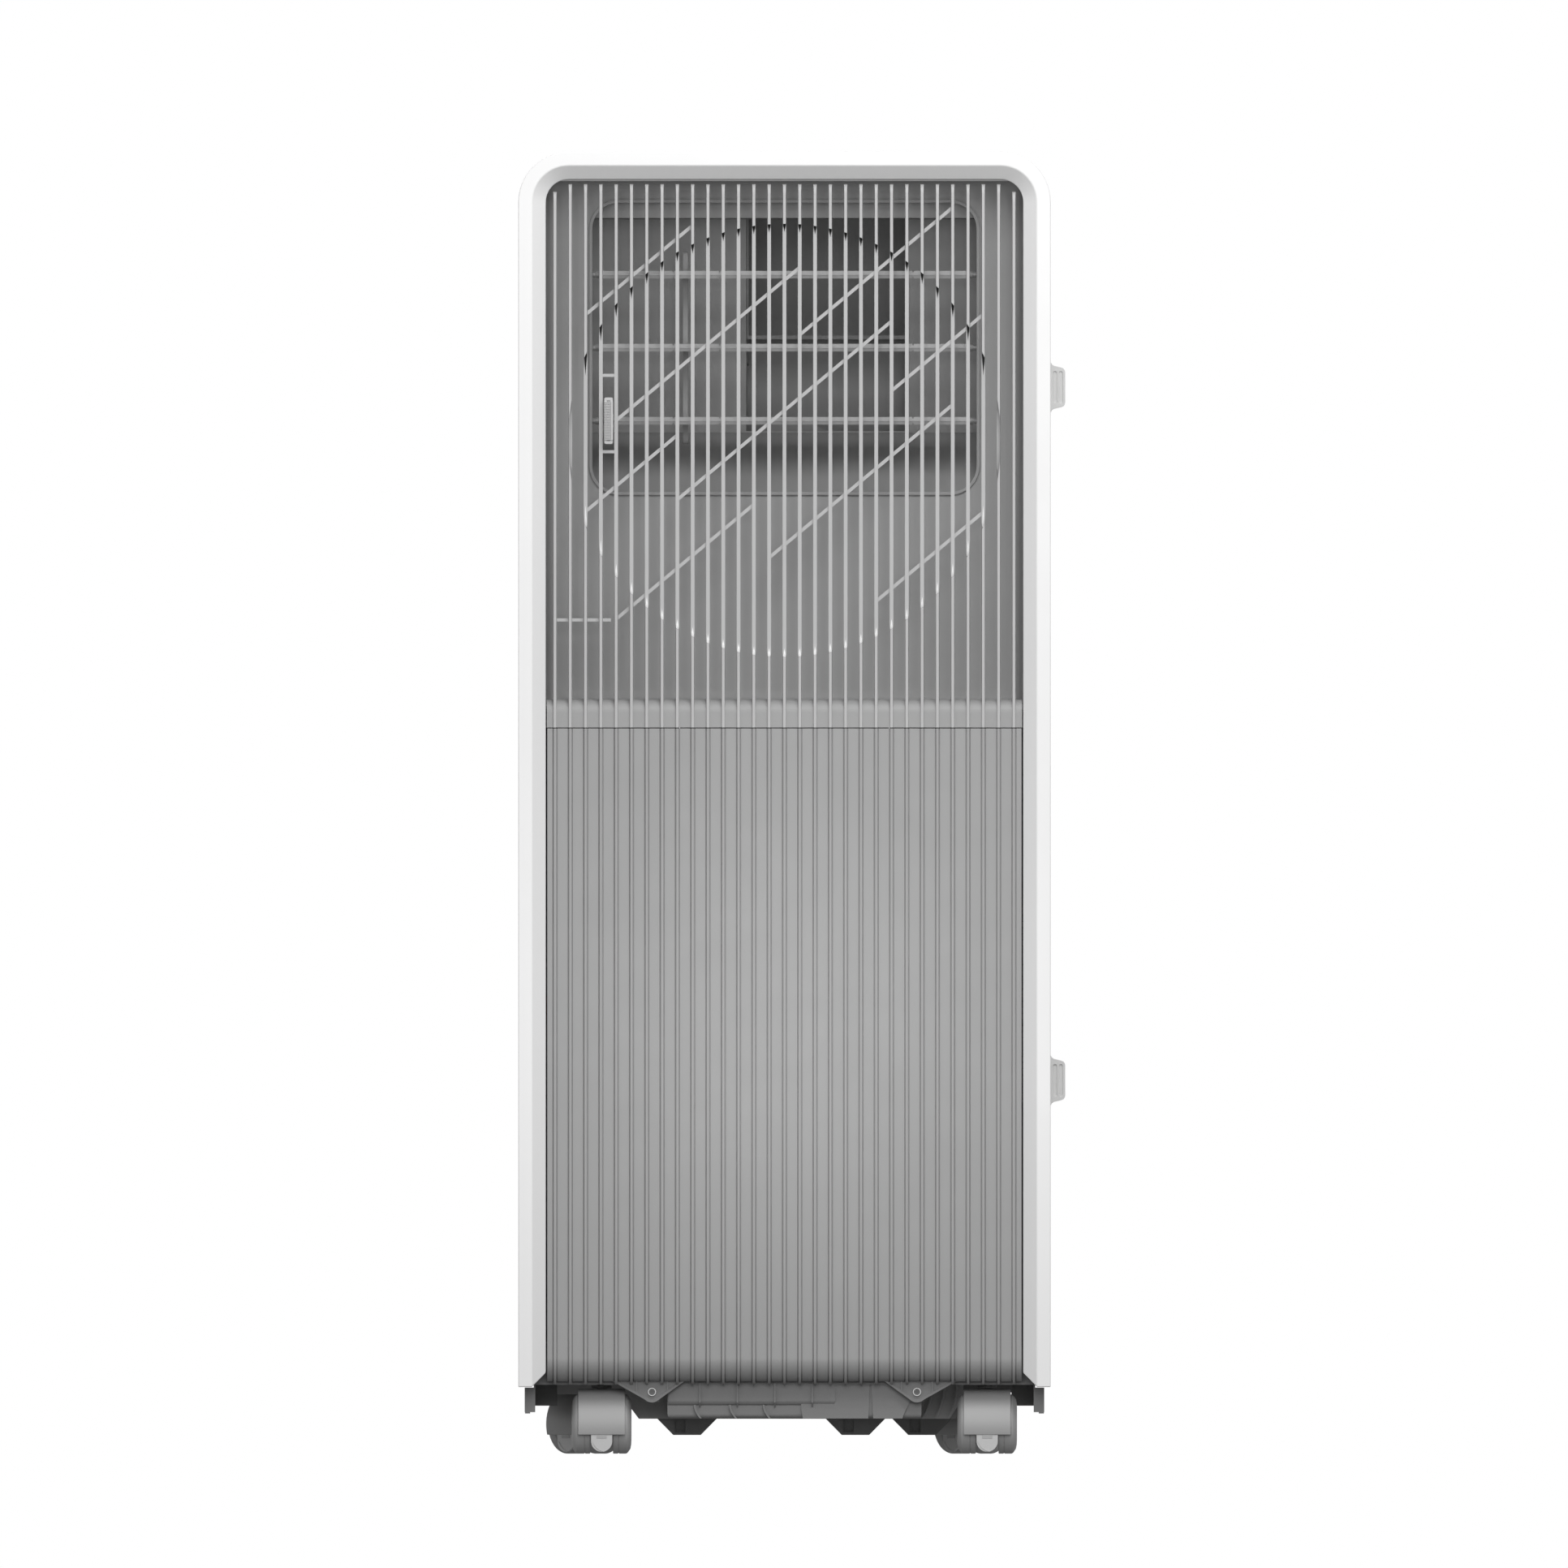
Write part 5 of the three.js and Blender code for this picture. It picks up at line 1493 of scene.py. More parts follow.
@dataclass
class RearCover(SubAssembly):
    """The rear cover with its slatted intakes, filters, hose collar, drain plugs and cord gland."""

    sizes: CasingSizes
    rear: RearSizes

    def build(self) -> None:
        """Builds the cover and all that is fitted in it."""
        self.cover()
        for name, z, half in self.rear.filters:
            self.filter(name, z, half)
        self.collar()
        for name, x, z in self.rear.drains:
            self.plug(name, x, z)
        self.gland()

    def cover(self) -> None:
        """Models the cover: a block with rounded shoulders, hollowed, slatted and cut for its fittings."""
        s, r, bench = self.sizes, self.rear, self.bench
        half, top, foot = s.half - 1, s.top - 1, s.foot + 1
        piece = bench.block("rear_cover_shell", (-half, half), (r.front, r.back), (foot, top))
        bench.round_edges(piece, s.corner - 1, 14, lambda a, b: min(a.z, b.z) > top - 1 and abs(a.y - b.y) > 1
                          and abs(a.x) > half - 1)
        bench.round_edges(piece, 5, 5, lambda a, b: min(a.y, b.y) > r.back - 0.1 and max(a.z, b.z) > foot + 1)
        bench.open_up(piece, lambda c, n: n.y < -0.9 or n.z < -0.9)
        bench.thicken(piece, r.wall)
        cutters = [self.slats(z, reach) for _, z, reach in r.filters]
        cutters += [bench.pad("filter_slot", Axis.Y, past(half), (z - reach - 0.5, z + reach + 0.5), 1,
                              (r.filter_y[0] - 0.6, r.filter_y[1] + 0.9), 3) for _, z, reach in r.filters]
        cutters.append(bench.drum("port", Axis.Y, r.port_r + 7.3, past(r.back), (0, r.port_z), 96))
        cutters += [bench.drum("drain", Axis.Y, 9.3, past(r.back), (x, z), 40) for _, x, z in r.drains]
        cutters.append(bench.drum("gland", Axis.Y, 7.3, past(r.back), r.gland, 40))
        bench.cut(piece, *cutters)
        bench.soften(piece, 0.5)
        rails = [self.rail(z + side * reach, side) for _, z, reach in r.filters for side in (-1, 1)]
        bench.gather(piece, *rails)
        self.hand_over(piece, CASING_WHITE, "cabinet", "rear_cover")

    def slats(self, z: float, reach: float) -> Node:
        """Models the row of intake slots as one cutting shape.

        Args:
            z: the intake's middle.
            reach: half its height.

        Returns:
            The cutting shape.
        """
        r, bench = self.rear, self.bench
        count = 18
        step = (2 * reach - 24) / count
        low = z - reach + 12
        slot = bench.pad("intake_slot", Axis.Y, (-128, 128), (low + 1.6, low + step - 1.6), 2.2,
                         past(r.back), 4)
        bench.repeat(slot, count, (0, 0, step))
        post = [bench.block("post", (x - 2, x + 2), (r.back - 12, r.back + 12), (z - reach, z + reach))
                for x in (-43, 43)]
        return bench.cut(slot, *post)

    def rail(self, edge: float, side: int) -> Node:
        """Models one of the grooved rails that a filter slides in.

        Args:
            edge: the height of the filter's edge.
            side: -1 below the filter, 1 above it.

        Returns:
            The rail.
        """
        r, bench = self.rear, self.bench
        inner, outer = sorted((edge - side * 3.4, edge + side * 3.4))
        piece = bench.block("filter_rail", (r.filter_left - 3, self.sizes.half - 5), (136, r.back - r.wall - 0.1),
                            (inner, outer))
        groove = sorted((edge - side * 9, edge + side * 0.5))
        bench.cut(piece, bench.block("groove", (r.filter_left - 1, self.sizes.half + 9),
                                     (r.filter_y[0] - 0.6, r.filter_y[1] + 0.9), groove))
        bench.soften(piece, 0.3)
        return piece

    def filter(self, name: str, z: float, reach: float) -> None:
        """Models a filter: a ribbed frame, its mesh, and the pull tab with two finger grooves.

        Args:
            name: upper or lower.
            z: its middle.
            reach: half the intake's height.
        """
        s, r, bench = self.sizes, self.rear, self.bench
        front, back = r.filter_y
        half = reach - 0.6
        right = s.half - 1
        frame = bench.pad(f"{name}_filter_frame", Axis.Y, (r.filter_left, right), (z - half, z + half), 2,
                          (front, back), 3)
        panes = []
        columns, rows = 4, 4
        width = (right - 8 - r.filter_left - 5) / columns
        tall = (2 * half - 6) / rows
        for i in range(columns):
            for j in range(rows):
                x, low = r.filter_left + 5 + i * width, z - half + 3 + j * tall
                panes.append(bench.pad("pane", Axis.Y, (x + 1.5, x + width - 1.5), (low + 1.5, low + tall - 1.5), 2,
                                       (front - 5, back + 5), 3))
        bench.cut(frame, bench.gather(*panes))
        bench.weld(frame, self.tab(z))
        bench.soften(frame, 0.3)
        self.hand_over(frame, FILTER_WHITE, f"{name}_filter", f"{name}_filter")
        self.mesh(name, z, half, right)

    def tab(self, z: float) -> Node:
        """Models a pull tab with flared roots, a rounded tip and two upright grooves.

        Args:
            z: its middle.

        Returns:
            The tab.
        """
        s, r, bench = self.sizes, self.rear, self.bench
        root, tip = s.half + 0.2, s.half + r.tab_out
        upper = [(root, 16.2), (root + 0.6, 15.0), (root + 1.9, 14.1), (root + 4.5, 13.5), (root + 6.6, 13.0),
                 (tip - 1.1, 12.3), (tip - 0.3, 11.2), (tip, 9.8)]
        outline = [(s.half - 4, z - 16.2), *((x, z - d) for x, d in upper),
                   *((x, z + d) for x, d in reversed(upper)),
                   (s.half - 4, z + 16.2)]
        piece = bench.prism("pull_tab", Axis.Y, outline, (r.filter_y[0] + 0.8, r.filter_y[1] - 0.6))
        grooves = [bench.pad("tab_groove", Axis.Y, (s.half + d - 1.2, s.half + d + 1.2), (z - 10.5, z + 10.5), 1.1,
                             (r.filter_y[0] - 3, r.filter_y[0] + 2), 5) for d in (2.9, 6.7)]
        return bench.cut(piece, bench.gather(*grooves))

    def mesh(self, name: str, z: float, half: float, right: float) -> None:
        """Models the filter's mesh as crossed threads in the frame's middle plane.

        Args:
            name: upper or lower.
            z: the filter's middle.
            half: half the frame's height.
            right: the frame's right end.
        """
        r, bench = self.rear, self.bench
        y = sum(r.filter_y) / 2
        pitch, thread = 4.0, 0.4
        left, end = r.filter_left + 4, right - 8
        low, high = z - half + 3, z + half - 3
        across = bench.pad(f"{name}_filter_mesh", Axis.X, (y - thread, y), (low, low + thread), 0.12, (left, end),
                           1)
        bench.repeat(across, int((high - low) / pitch) + 1, (0, 0, pitch))
        upright = bench.pad("threads", Axis.Z, (left, left + thread), (y, y + thread), 0.12, (low, high), 1)
        bench.repeat(upright, int((end - left) / pitch) + 1, (pitch, 0, 0))
        bench.gather(across, upright)
        self.hand_over(across, MESH_GREY, f"{name}_filter")

    def collar(self) -> None:
        """Models the hose collar: a spun tube and flange, bayonet lugs and a guard of upright bars."""
        r, bench = self.rear, self.bench
        inner, outer, flange = r.port_r - 0.5, r.port_r + 4, r.port_r + 7
        wall = r.back - r.wall
        profile = [(wall - 49 + 4, inner), (r.collar_back, inner), (r.collar_back, outer - 0.8),
                   (r.collar_back - 0.8, outer),
                   (r.back + 1.5, outer), (r.back + 1.5, flange), (wall - 4, flange), (wall - 4, outer),
                   (wall - 45, outer)]
        piece = bench.turned("hose_collar", Axis.Y, profile, (0, r.port_z), 96)
        lugs = []
        for turn in (90, 210, 330):
            a = math.radians(turn)
            x, z = (outer - 0.2) * math.cos(a), r.port_z + (outer - 0.2) * math.sin(a)
            lugs.append(bench.drum("lug", Axis.Y, 3.0, (r.collar_back - 8, r.collar_back - 4), (x, z), 24))
        bars = []
        for x in (-50, -37.5, -25, -12.5, 0, 12.5, 25, 37.5, 50):
            high = math.sqrt((r.port_r + 2) ** 2 - x * x)
            bars.append(bench.block("guard_bar", (x - 1, x + 1), (r.back - 6, r.back - 2),
                                    (r.port_z - high, r.port_z + high)))
        cross = [bench.block("guard_cross", (-r.port_r - 1, r.port_r + 1), (r.back - 5.5, r.back - 2.5),
                             (z - 1, z + 1))
                 for z in (r.port_z - 21, r.port_z + 21)]
        bench.weld(piece, bench.gather(*lugs), bench.gather(*bars), bench.gather(*cross))
        bench.soften(piece, 0.4)
        self.hand_over(piece, BASE_GREY, "cabinet", "exhaust_collar")

    def plug(self, name: str, x: float, z: float) -> None:
        """Models a drain plug: a stepped rubber cap with a finger bar.

        Args:
            name: upper or lower.
            x: its place across the cover.
            z: its height.
        """
        r, bench = self.rear, self.bench
        y = r.back
        profile = [(y - 16, 0.001), (y - 16, 4.2), (y - 14.5, 5), (y - 11, 5), (y - 10, 4.5), (y - 2, 4.5),
                   (y - 2, 9),
                   (y + 4.5, 9), (y + 6, 8), (y + 6, 0.001)]
        piece = bench.turned(f"{name}_drain_stopper", Axis.Y, profile, (x, z), 48)
        bench.weld(piece, bench.pad("finger_bar", Axis.Y, (x - 1.5, x + 1.5), (z - 6, z + 6), 1.2, (y + 5, y + 9),
                                    4))
        bench.soften(piece, 0.4)
        self.hand_over(piece, BASE_GREY, f"{name}_drain_plug", f"{name}_drain_plug")

    def gland(self) -> None:
        """Models the cord gland: a ribbed nose, a collar and the nut inside."""
        r, bench = self.rear, self.bench
        y = r.back
        bore = 3.6
        ribs = []
        for i in range(4):
            at = y + 4.2 + i * 1.9
            ribs += [(at, 6.3 - i * 0.35), (at + 1.1, 6.3 - i * 0.35), (at + 1.3, 5.4 - i * 0.35)]
        profile = [(y - 8, bore), (y - 8, 7), (y + 0.3, 7), (y + 0.3, 8.5), (y + 3, 8.5), (y + 4, 7.2), *ribs,
                   (y + 12, 4.6),
                   (y + 12, bore)]
        piece = bench.turned("cord_gland_body", Axis.Y, profile, r.gland, 48)
        nut = bench.drum("gland_nut", Axis.Y, 10, (y - 6.5, y - 3.4), r.gland, 6)
        bench.cut(nut, bench.drum("nut_bore", Axis.Y, 6.8, (y - 9, y), r.gland, 48))
        bench.weld(piece, nut)
        bench.soften(piece, 0.2)
        self.hand_over(piece, BASE_GREY, "cabinet", "cord_gland")


# ---------------------------------------- base pan
@dataclass
class BasePan(SubAssembly):
    """The dark pan under the plant, with its tub, ribs, feet, side skirts and caster sockets."""

    spots: Sequence[UV]
    deck: float = 45.0
    edge: tuple[float, ...] = (164.0, -140.0, 150.0)
    tub_x: UV = (-95.2, 112.0)
    tub_low: float = 22.8
    slope: float = 6.4
    knee: float = 31.3
    tub_y: UV = (-60.0, 70.0)
    skirt_y: UV = (-139.5, 84.0)
    swivel_r: float = 43.0
    nose_x: UV = (-76.5, 89.5)
    nose_y: UV = (-138.0, 138.0)
    wing_low: float = 108.0
    wing_top: float = 117.0
    feet: tuple[UV, ...] = ((-63.7, -40.0), (46.4, -40.0), (89.9, 48.0), (-63.7, 48.0))
    ribs: int = 4
    rib_pitch: float = 24.5
    first_rib: float = -55.3
    ledge_x: UV = (-76.0, 33.1)
    ledge_low: float = 31.4
    ledge_proud: float = 2.0
    curls: tuple[float, ...] = (-58.7, -35.6, -13.6)
    bulge_x: tuple[float, ...] = (9.0, 56.2, 83.0)
    fins: tuple[UV, ...] = ((90.3, 36.0), (96.0, 42.0), (104.3, 44.0), (112.9, 45.0))

    def build(self) -> None:
        """Builds the pan as one moulding."""
        bench = self.bench
        x, front, back = self.edge
        piece = self.tub(0.0)
        deck = bench.block("deck", (-x, x), (front, back), (self.deck, self.deck + 3))
        rim = bench.block("rim", (-x, x), (front, back), (self.deck, 72))
        bench.cut(rim, bench.block("rim_hollow", (-x + 3, x - 3), (front + 3, back - 3), (self.deck - 1, 74)))
        bench.weld(piece, deck, rim)
        bench.cut(piece, self.tub(3.0))
        bench.weld(piece, *self.skirts(), *self.feet_blocks(), *self.front_ribs(), *self.towers(), *self.bosses())
        holes = [bench.drum("socket", Axis.Z, 3.4, (self.deck - 3, 64), spot, 24) for spot in self.spots]
        bench.cut(piece, bench.gather(*holes))
        bench.cut(piece, bench.drum("drain", Axis.Y, 5.3, past(back), (104, 61), 32))
        bench.soften(piece, 0.5, 2, 35)
        self.tub_face()
        self.hand_over(piece, BASE_GREY, "cabinet", "base_pan")

    def tub(self, inset: float) -> Node:
        """Models the tub, or the room inside it when inset by the wall.

        Args:
            inset: the wall's thickness for the room inside, or 0 for the tub.

        Returns:
            The new piece.
        """
        bench = self.bench
        left, right = self.tub_x
        out = self.slope - inset
        top = self.deck + (10 if inset else 3)
        outline = [(left - out, top), (left - out, self.knee), (left + inset, self.tub_low + inset),
                   (right - inset, self.tub_low + inset), (right + out, self.knee), (right + out, top)]
        wide = bench.prism("tub", Axis.Y, outline, (self.tub_y[0] + inset, self.tub_y[1] - inset))
        long = bench.block("nose", (self.nose_x[0] + inset, self.nose_x[1] - inset),
                           (self.nose_y[0] + inset, self.nose_y[1] - inset), (self.tub_low + inset, top))
        if not inset:
            bench.round_edges(long, 3, 4, lambda a, b: max(a.z, b.z) < self.tub_low + 1)
        return bench.weld(wide, long)

    def skirts(self) -> list[Node]:
        """Models the stepped skirts at the sides, cut round the casters, and the boxes inside them.

        Returns:
            The skirts, their boxes and the cross wall.
        """
        bench = self.bench
        made = []
        for s in (-1, 1):
            skirt = bench.block("skirt", (s * 162.9, s * 169.8), self.skirt_y, (27.1, 43.2))
            step = bench.block("skirt_step", (s * 166.2, s * 169.6), self.skirt_y, (26.2, 28))
            web = bench.block("skirt_web", (s * 162.8, s * 163.9), self.skirt_y, (42.8, self.deck + 1))
            bench.weld(skirt, step, web)
            rooms = [bench.drum("swivel_room", Axis.Z, self.swivel_r, (20, self.deck), spot, 64)
                     for spot in self.spots if spot[0] * s > 0]
            made.append(bench.cut(skirt, bench.gather(*rooms)))
            made.append(bench.block("skirt_box", (s * 148.3, s * 163.2), (self.tub_y[0] + 4, self.tub_y[1] - 4),
                                    (31.3, self.deck + 1)))
        made.append(bench.block("cross_wall", (self.tub_x[1] + 2, 149), (self.tub_y[0] - 0.5, self.tub_y[0] + 2.5),
                                (40, self.deck + 1)))
        return made

    def feet_blocks(self) -> list[Node]:
        """Models the four tapered feet, each hollowed at its front.

        Returns:
            The feet.
        """
        made = []
        for x, y in self.feet:
            outline = [(x - 20.4, self.tub_low + 1), (x - 9, 12.2), (x + 9, 12.2), (x + 20.4, self.tub_low + 1)]
            foot = self.bench.prism("foot", Axis.Y, outline, (y - 14, y + 14))
            self.bench.cut(foot, self.bench.block("foot_flute", (x - 8, x - 1), (y - 16, y - 12), (14, 24)))
            made.append(foot)
        return made

    def front_ribs(self) -> list[Node]:
        """Models what stands on the nose's front: the ledge, its ribs, two bulges and the leaning fins.

        Returns:
            The ledge, the ribs and the bulges.
        """
        bench, front = self.bench, self.nose_y[0]
        face = front - self.ledge_proud
        low = self.ledge_low
        ledge = bench.block("ledge", self.ledge_x, (face, front + 1), (low, self.deck + 1))
        bench.round_edges(ledge, 3.2, 5, lambda a, b: max(a.z, b.z) < low + 0.1 and max(a.y, b.y) < face + 0.1
                          or abs(a.y - b.y) > 0.5 and min(a.x, b.x) > 1 and max(a.z, b.z) < low + 0.1)
        made = [ledge]
        for i in range(self.ribs):
            x = self.first_rib + i * self.rib_pitch
            outline = [(face + 0.5, self.deck + 1), (face - 2.2, self.deck + 1), (face - 2.2, low + 2),
                       (face + 0.5, low - 1)]
            made.append(bench.prism("front_rib", Axis.X, outline, (x - 0.5, x + 0.5)))
        for x in self.curls:
            made.append(self.leaning("lower_rib", x, low + 0.5, 4.0, 1.3, (front - 2.6, front + 1)))
        made.append(self.bulge(self.bulge_x[0], self.bulge_x[1] - 0.6, 3.0, 0.8))
        made.append(self.bulge(self.bulge_x[1] + 0.6, self.bulge_x[2], 1.2, 6.0))
        return made

    def tub_face(self) -> None:
        """Models the tub's front wall with the fins that lean over its right end, and a side wall, in a paler grey
        than the pan: painted light on walls where shade falls.
        """
        bench, front = self.bench, self.tub_y[0]
        left, right = self.tub_x[0] - self.slope, self.wing_top
        outline = [(left - 5, self.deck), (left - 5, self.knee + 4.7), (left, self.knee),
                   (self.tub_x[0], self.tub_low),
                   (self.wing_low, self.tub_low), (right, self.tub_low + 14), (right, self.deck)]
        piece = bench.prism("tub_face", Axis.Y, outline, (front - 2.4, front + 0.4))
        bench.weld(piece, bench.block("side_wall", (-148.6, left - 4), (front - 2, front), (38.7, self.deck)))
        fins = [self.leaning("side_fin", x, top, -5.6, 1.3, (front - 4.6, front - 1)) for x, top in self.fins]
        bench.weld(piece, bench.gather(*fins))
        bench.soften(piece, 0.3)
        # The paler grey paints light onto these shaded walls of the pan.
        self.hand_over(piece, BASE_GREY_PAINTED_LIGHTER, "cabinet")

    def bulge(self, left: float, right: float, lean_left: float, lean_right: float) -> Node:
        """Models a bulge of the nose with a flange along its foot.

        Args:
            left: its left end at the deck.
            right: its right end at the deck.
            lean_left: how far its left side leans in at the foot.
            lean_right: how far its right side leans in.

        Returns:
            The new piece.
        """
        bench, front, low = self.bench, self.nose_y[0], self.tub_low
        top = self.deck + 1
        outline = [(left, top), (left + lean_left, low + 0.2), (right - lean_right, low + 0.2),
                   (right - lean_right / 6, 34),
                   (right, top)]
        piece = bench.prism("bulge", Axis.Y, outline, (front - 1.2, front + 1))
        flange = bench.prism("flange", Axis.Y, [(left + lean_left * 0.6, 29.6), (left + lean_left, low + 0.2),
                                                (right - lean_right, low + 0.2), (right - lean_right * 0.55, 29.6)],
                             (front - 2, front))
        return bench.weld(piece, flange)

    def leaning(self, name: str, x: float, top: float, lean: float, width: float, ys: UV) -> Node:
        """Models an upright rib that curves sideways towards its foot.

        Args:
            name: the piece's name.
            x: its middle at the top.
            top: the height of its top.
            lean: how far its foot lies to the right.
            width: how wide it is.
            ys: its ends along Y.

        Returns:
            The new piece.
        """
        steps = 6
        spine = [(x + lean * (i / steps) ** 2, top + (self.tub_low + 0.3 - top) * i / steps)
                 for i in range(steps + 1)]
        outline = [(u - width / 2, v) for u, v in spine] + [(u + width / 2, v) for u, v in reversed(spine)]
        return self.bench.prism(name, Axis.Y, outline, ys)

    def towers(self) -> list[Node]:
        """Models the sockets' towers on the deck, one over each caster."""
        return [self.bench.drum("tower", Axis.Z, 9, (self.deck, 68), spot, 32) for spot in self.spots]

    def bosses(self) -> list[Node]:
        """Models the bosses that take the panel's screws.

        Returns:
            The two bosses.
        """
        made = []
        for s in (-1, 1):
            boss = self.bench.block("boss", (s * LowerPanel.tab_x - 5, s * LowerPanel.tab_x + 5), (-141.7, -134),
                                    (34, self.deck + 2))
            hole = self.bench.drum("screw_hole", Axis.Y, 1.7, (-144, -132),
                                   (s * LowerPanel.tab_x, LowerPanel.screw_z), 20)
            made.append(self.bench.cut(boss, hole))
        return made


# ---------------------------------------- casters
@dataclass(frozen=True)
class CasterSpot:
    """Where a caster stands and how far it is turned at rest."""

    name: str
    x: float
    y: float
    turn: float


@dataclass
class Casters(SubAssembly):
    """Four twin-wheel casters, each modelled once and copied: stem, hooded fork and two wheels."""

    spots: Sequence[CasterSpot]
    trail: float = 16.0
    wheel_r: float = 19.35
    hood_r: float = 23.0
    hood_wall: float = 1.8
    hood_half: float = 15.4
    hood_foot: float = 12.2
    axle_r: float = 2.5
    inner: float = 7.4
    outer: float = 18.3
    dome: float = 19.5

    def build(self) -> None:
        """Models each piece once about the middle of the floor, and copies it to every spot."""
        bench = self.bench
        masters = {"stem": self.stem(), "fork": self.fork(), "wheel_a": self.wheel(), "wheel_b": self.wheel(),
                   "plate": self.plate()}
        bench.mirror(masters["wheel_a"])
        finishes = {"stem": CASTER_GREY, "plate": WEB_PALE}
        for spot in self.spots:
            for part, master in masters.items():
                piece = bench.twin(master, f"{spot.name}_caster_{part}")
                bench.place(piece, (spot.x, spot.y, 0), spot.turn)
                turning = f"caster_{spot.name}"
                body = {"stem": "cabinet", "fork": turning, "plate": turning}.get(part, f"{turning}_{part}")
                nodes = [] if part == "plate" else [f"{turning}_{part}"]
                self.hand_over(piece, finishes.get(part, CASTER_GREY), body, *nodes)
        for master in masters.values():
            bpy.data.objects.remove(master)

    def stem(self) -> Node:
        """Models the steel stem with its collar and snap groove.

        Returns:
            The new piece.
        """
        profile = [(30, 0.001), (30, 2.6), (30.6, 3.1), (42.7, 3.1), (42.7, 6.4), (43, 6.6), (44.4, 6.6),
                   (44.7, 6.4),
                   (44.7, 3.1), (57, 3.1), (57.3, 2.6), (58.4, 2.6), (58.7, 3.1), (60.3, 3.1), (61, 2.3),
                   (61, 0.001)]
        piece = self.bench.turned("stem", Axis.Z, profile, (0, 0), 32)
        return self.bench.smooth(piece)

    def arch(self, radius: float, start: float, stop: float, steps: int) -> list[UV]:
        """Points round the axle, as (y, z)."""
        return arc((-self.trail, self.wheel_r), radius, start, stop, steps)

    def fork(self) -> Node:
        """Models the hood over the wheels, the web between them, the stem's socket and the axle.

        Returns:
            The new piece.
        """
        bench = self.bench
        start = 180 + math.degrees(math.asin((self.wheel_r - self.hood_foot) / self.hood_r))
        stop = 38
        shell = [*self.arch(self.hood_r, start, stop, 28),
                 *self.arch(self.hood_r - self.hood_wall, stop, start, 28)]
        piece = bench.prism("fork", Axis.X, shell, (-self.hood_half, self.hood_half))
        bench.soften(piece, 0.5, 3)
        y, z = -self.trail, self.wheel_r
        web = bench.prism("web", Axis.X, [*self.arch(self.hood_r - 0.5, start, stop, 20), (y + 4, z - 5),
                                          (y - 5, z - 5)], (-2.6, 2.6))
        disc = bench.drum("disc", Axis.X, 13.5, (-5.6, 5.6), (y, z), 64)
        tab = bench.block("hood_tab", (-3.3, 3.3), (y - self.hood_r + 1.4, y - self.hood_r + 2.8),
                          (self.hood_foot - 2.2, self.hood_foot + 1))
        socket = bench.drum("socket", Axis.Z, 7, (24, 42.4), (0, 0), 40)
        axle = bench.drum("axle", Axis.X, self.axle_r, (-self.outer + 1, self.outer - 1), (y, z), 32)
        bench.weld(piece, web, disc, tab, socket, axle)
        bench.cut(piece, bench.drum("stem_bore", Axis.Z, 3.4, (10, 50), (0, 0), 32))
        bench.smooth(piece)
        return piece

    def plate(self) -> Node:
        """Models the guard between the wheels, which hangs from the hood's foot and is rounded at its own.

        Returns:
            The new piece.
        """
        bench, half = self.bench, self.inner - 0.5
        front, top = -self.trail - self.hood_r + 1.7, self.hood_foot + 0.4
        piece = bench.prism("plate", Axis.Y, [(-half, top), *arc((0, 1.2 + half), half, 180, 360, 16), (half, top)],
                            (front, front + 1.6))
        bench.weld(piece, bench.prism("rib", Axis.Y,
                                      [*arc((3, 10.5), 9.4, 195, 262, 12), *arc((3, 10.5), 8.8, 262, 195, 12)],
                                      (front - 0.4, front + 0.4)))
        bench.soften(piece, 0.15)
        return piece

    def wheel(self) -> Node:
        """Models one wheel: a grooved tread, a domed cover outside, and a hollow face with spokes inside.

        Returns:
            The new piece.
        """
        bench, r = self.bench, self.wheel_r
        y, z = -self.trail, self.wheel_r
        inner, outer, dome = self.inner, self.outer, self.dome
        bore = self.axle_r + 0.3
        tread = [(inner, r - 0.4), (inner + 0.4, r), (inner + 3.2, r), (inner + 3.5, r - 0.35),
                 (inner + 3.8, r - 0.35),
                 (inner + 4.1, r), (outer - 2.4, r), (outer - 1.6, r - 0.35), (outer - 0.9, r - 1.1)]
        cover = [(dome - 0.7, r - 3.2), (dome - 0.15, r - 6), (dome, r - 9), (dome, 6.2), (dome - 0.5, 5.6),
                 (dome - 0.5, bore)]
        profile = [(inner, bore), (inner, 5.6), (outer - 2.4, 6.6), (outer - 2.4, r - 5.2), (inner, r - 3.2),
                   *tread, *cover]
        piece = bench.turned("wheel", Axis.X, profile, (y, z), 72)
        spokes = []
        for i in range(6):
            a = math.tau * i / 6
            along, across = Vector((math.cos(a), math.sin(a))), Vector((-math.sin(a), math.cos(a))) * 0.8
            ends = [Vector((y, z)) + along * 5.2, Vector((y, z)) + along * (r - 3.6)]
            outline = [tuple(p + across * s) for p, s in ((ends[0], -1), (ends[1], -1), (ends[1], 1), (ends[0], 1))]
            spokes.append(bench.prism("spoke", Axis.X, outline, (inner + 0.8, outer - 1.8)))
        bench.weld(piece, bench.gather(*spokes))
        bench.soften(piece, 0.2, 2, 50)
        return piece


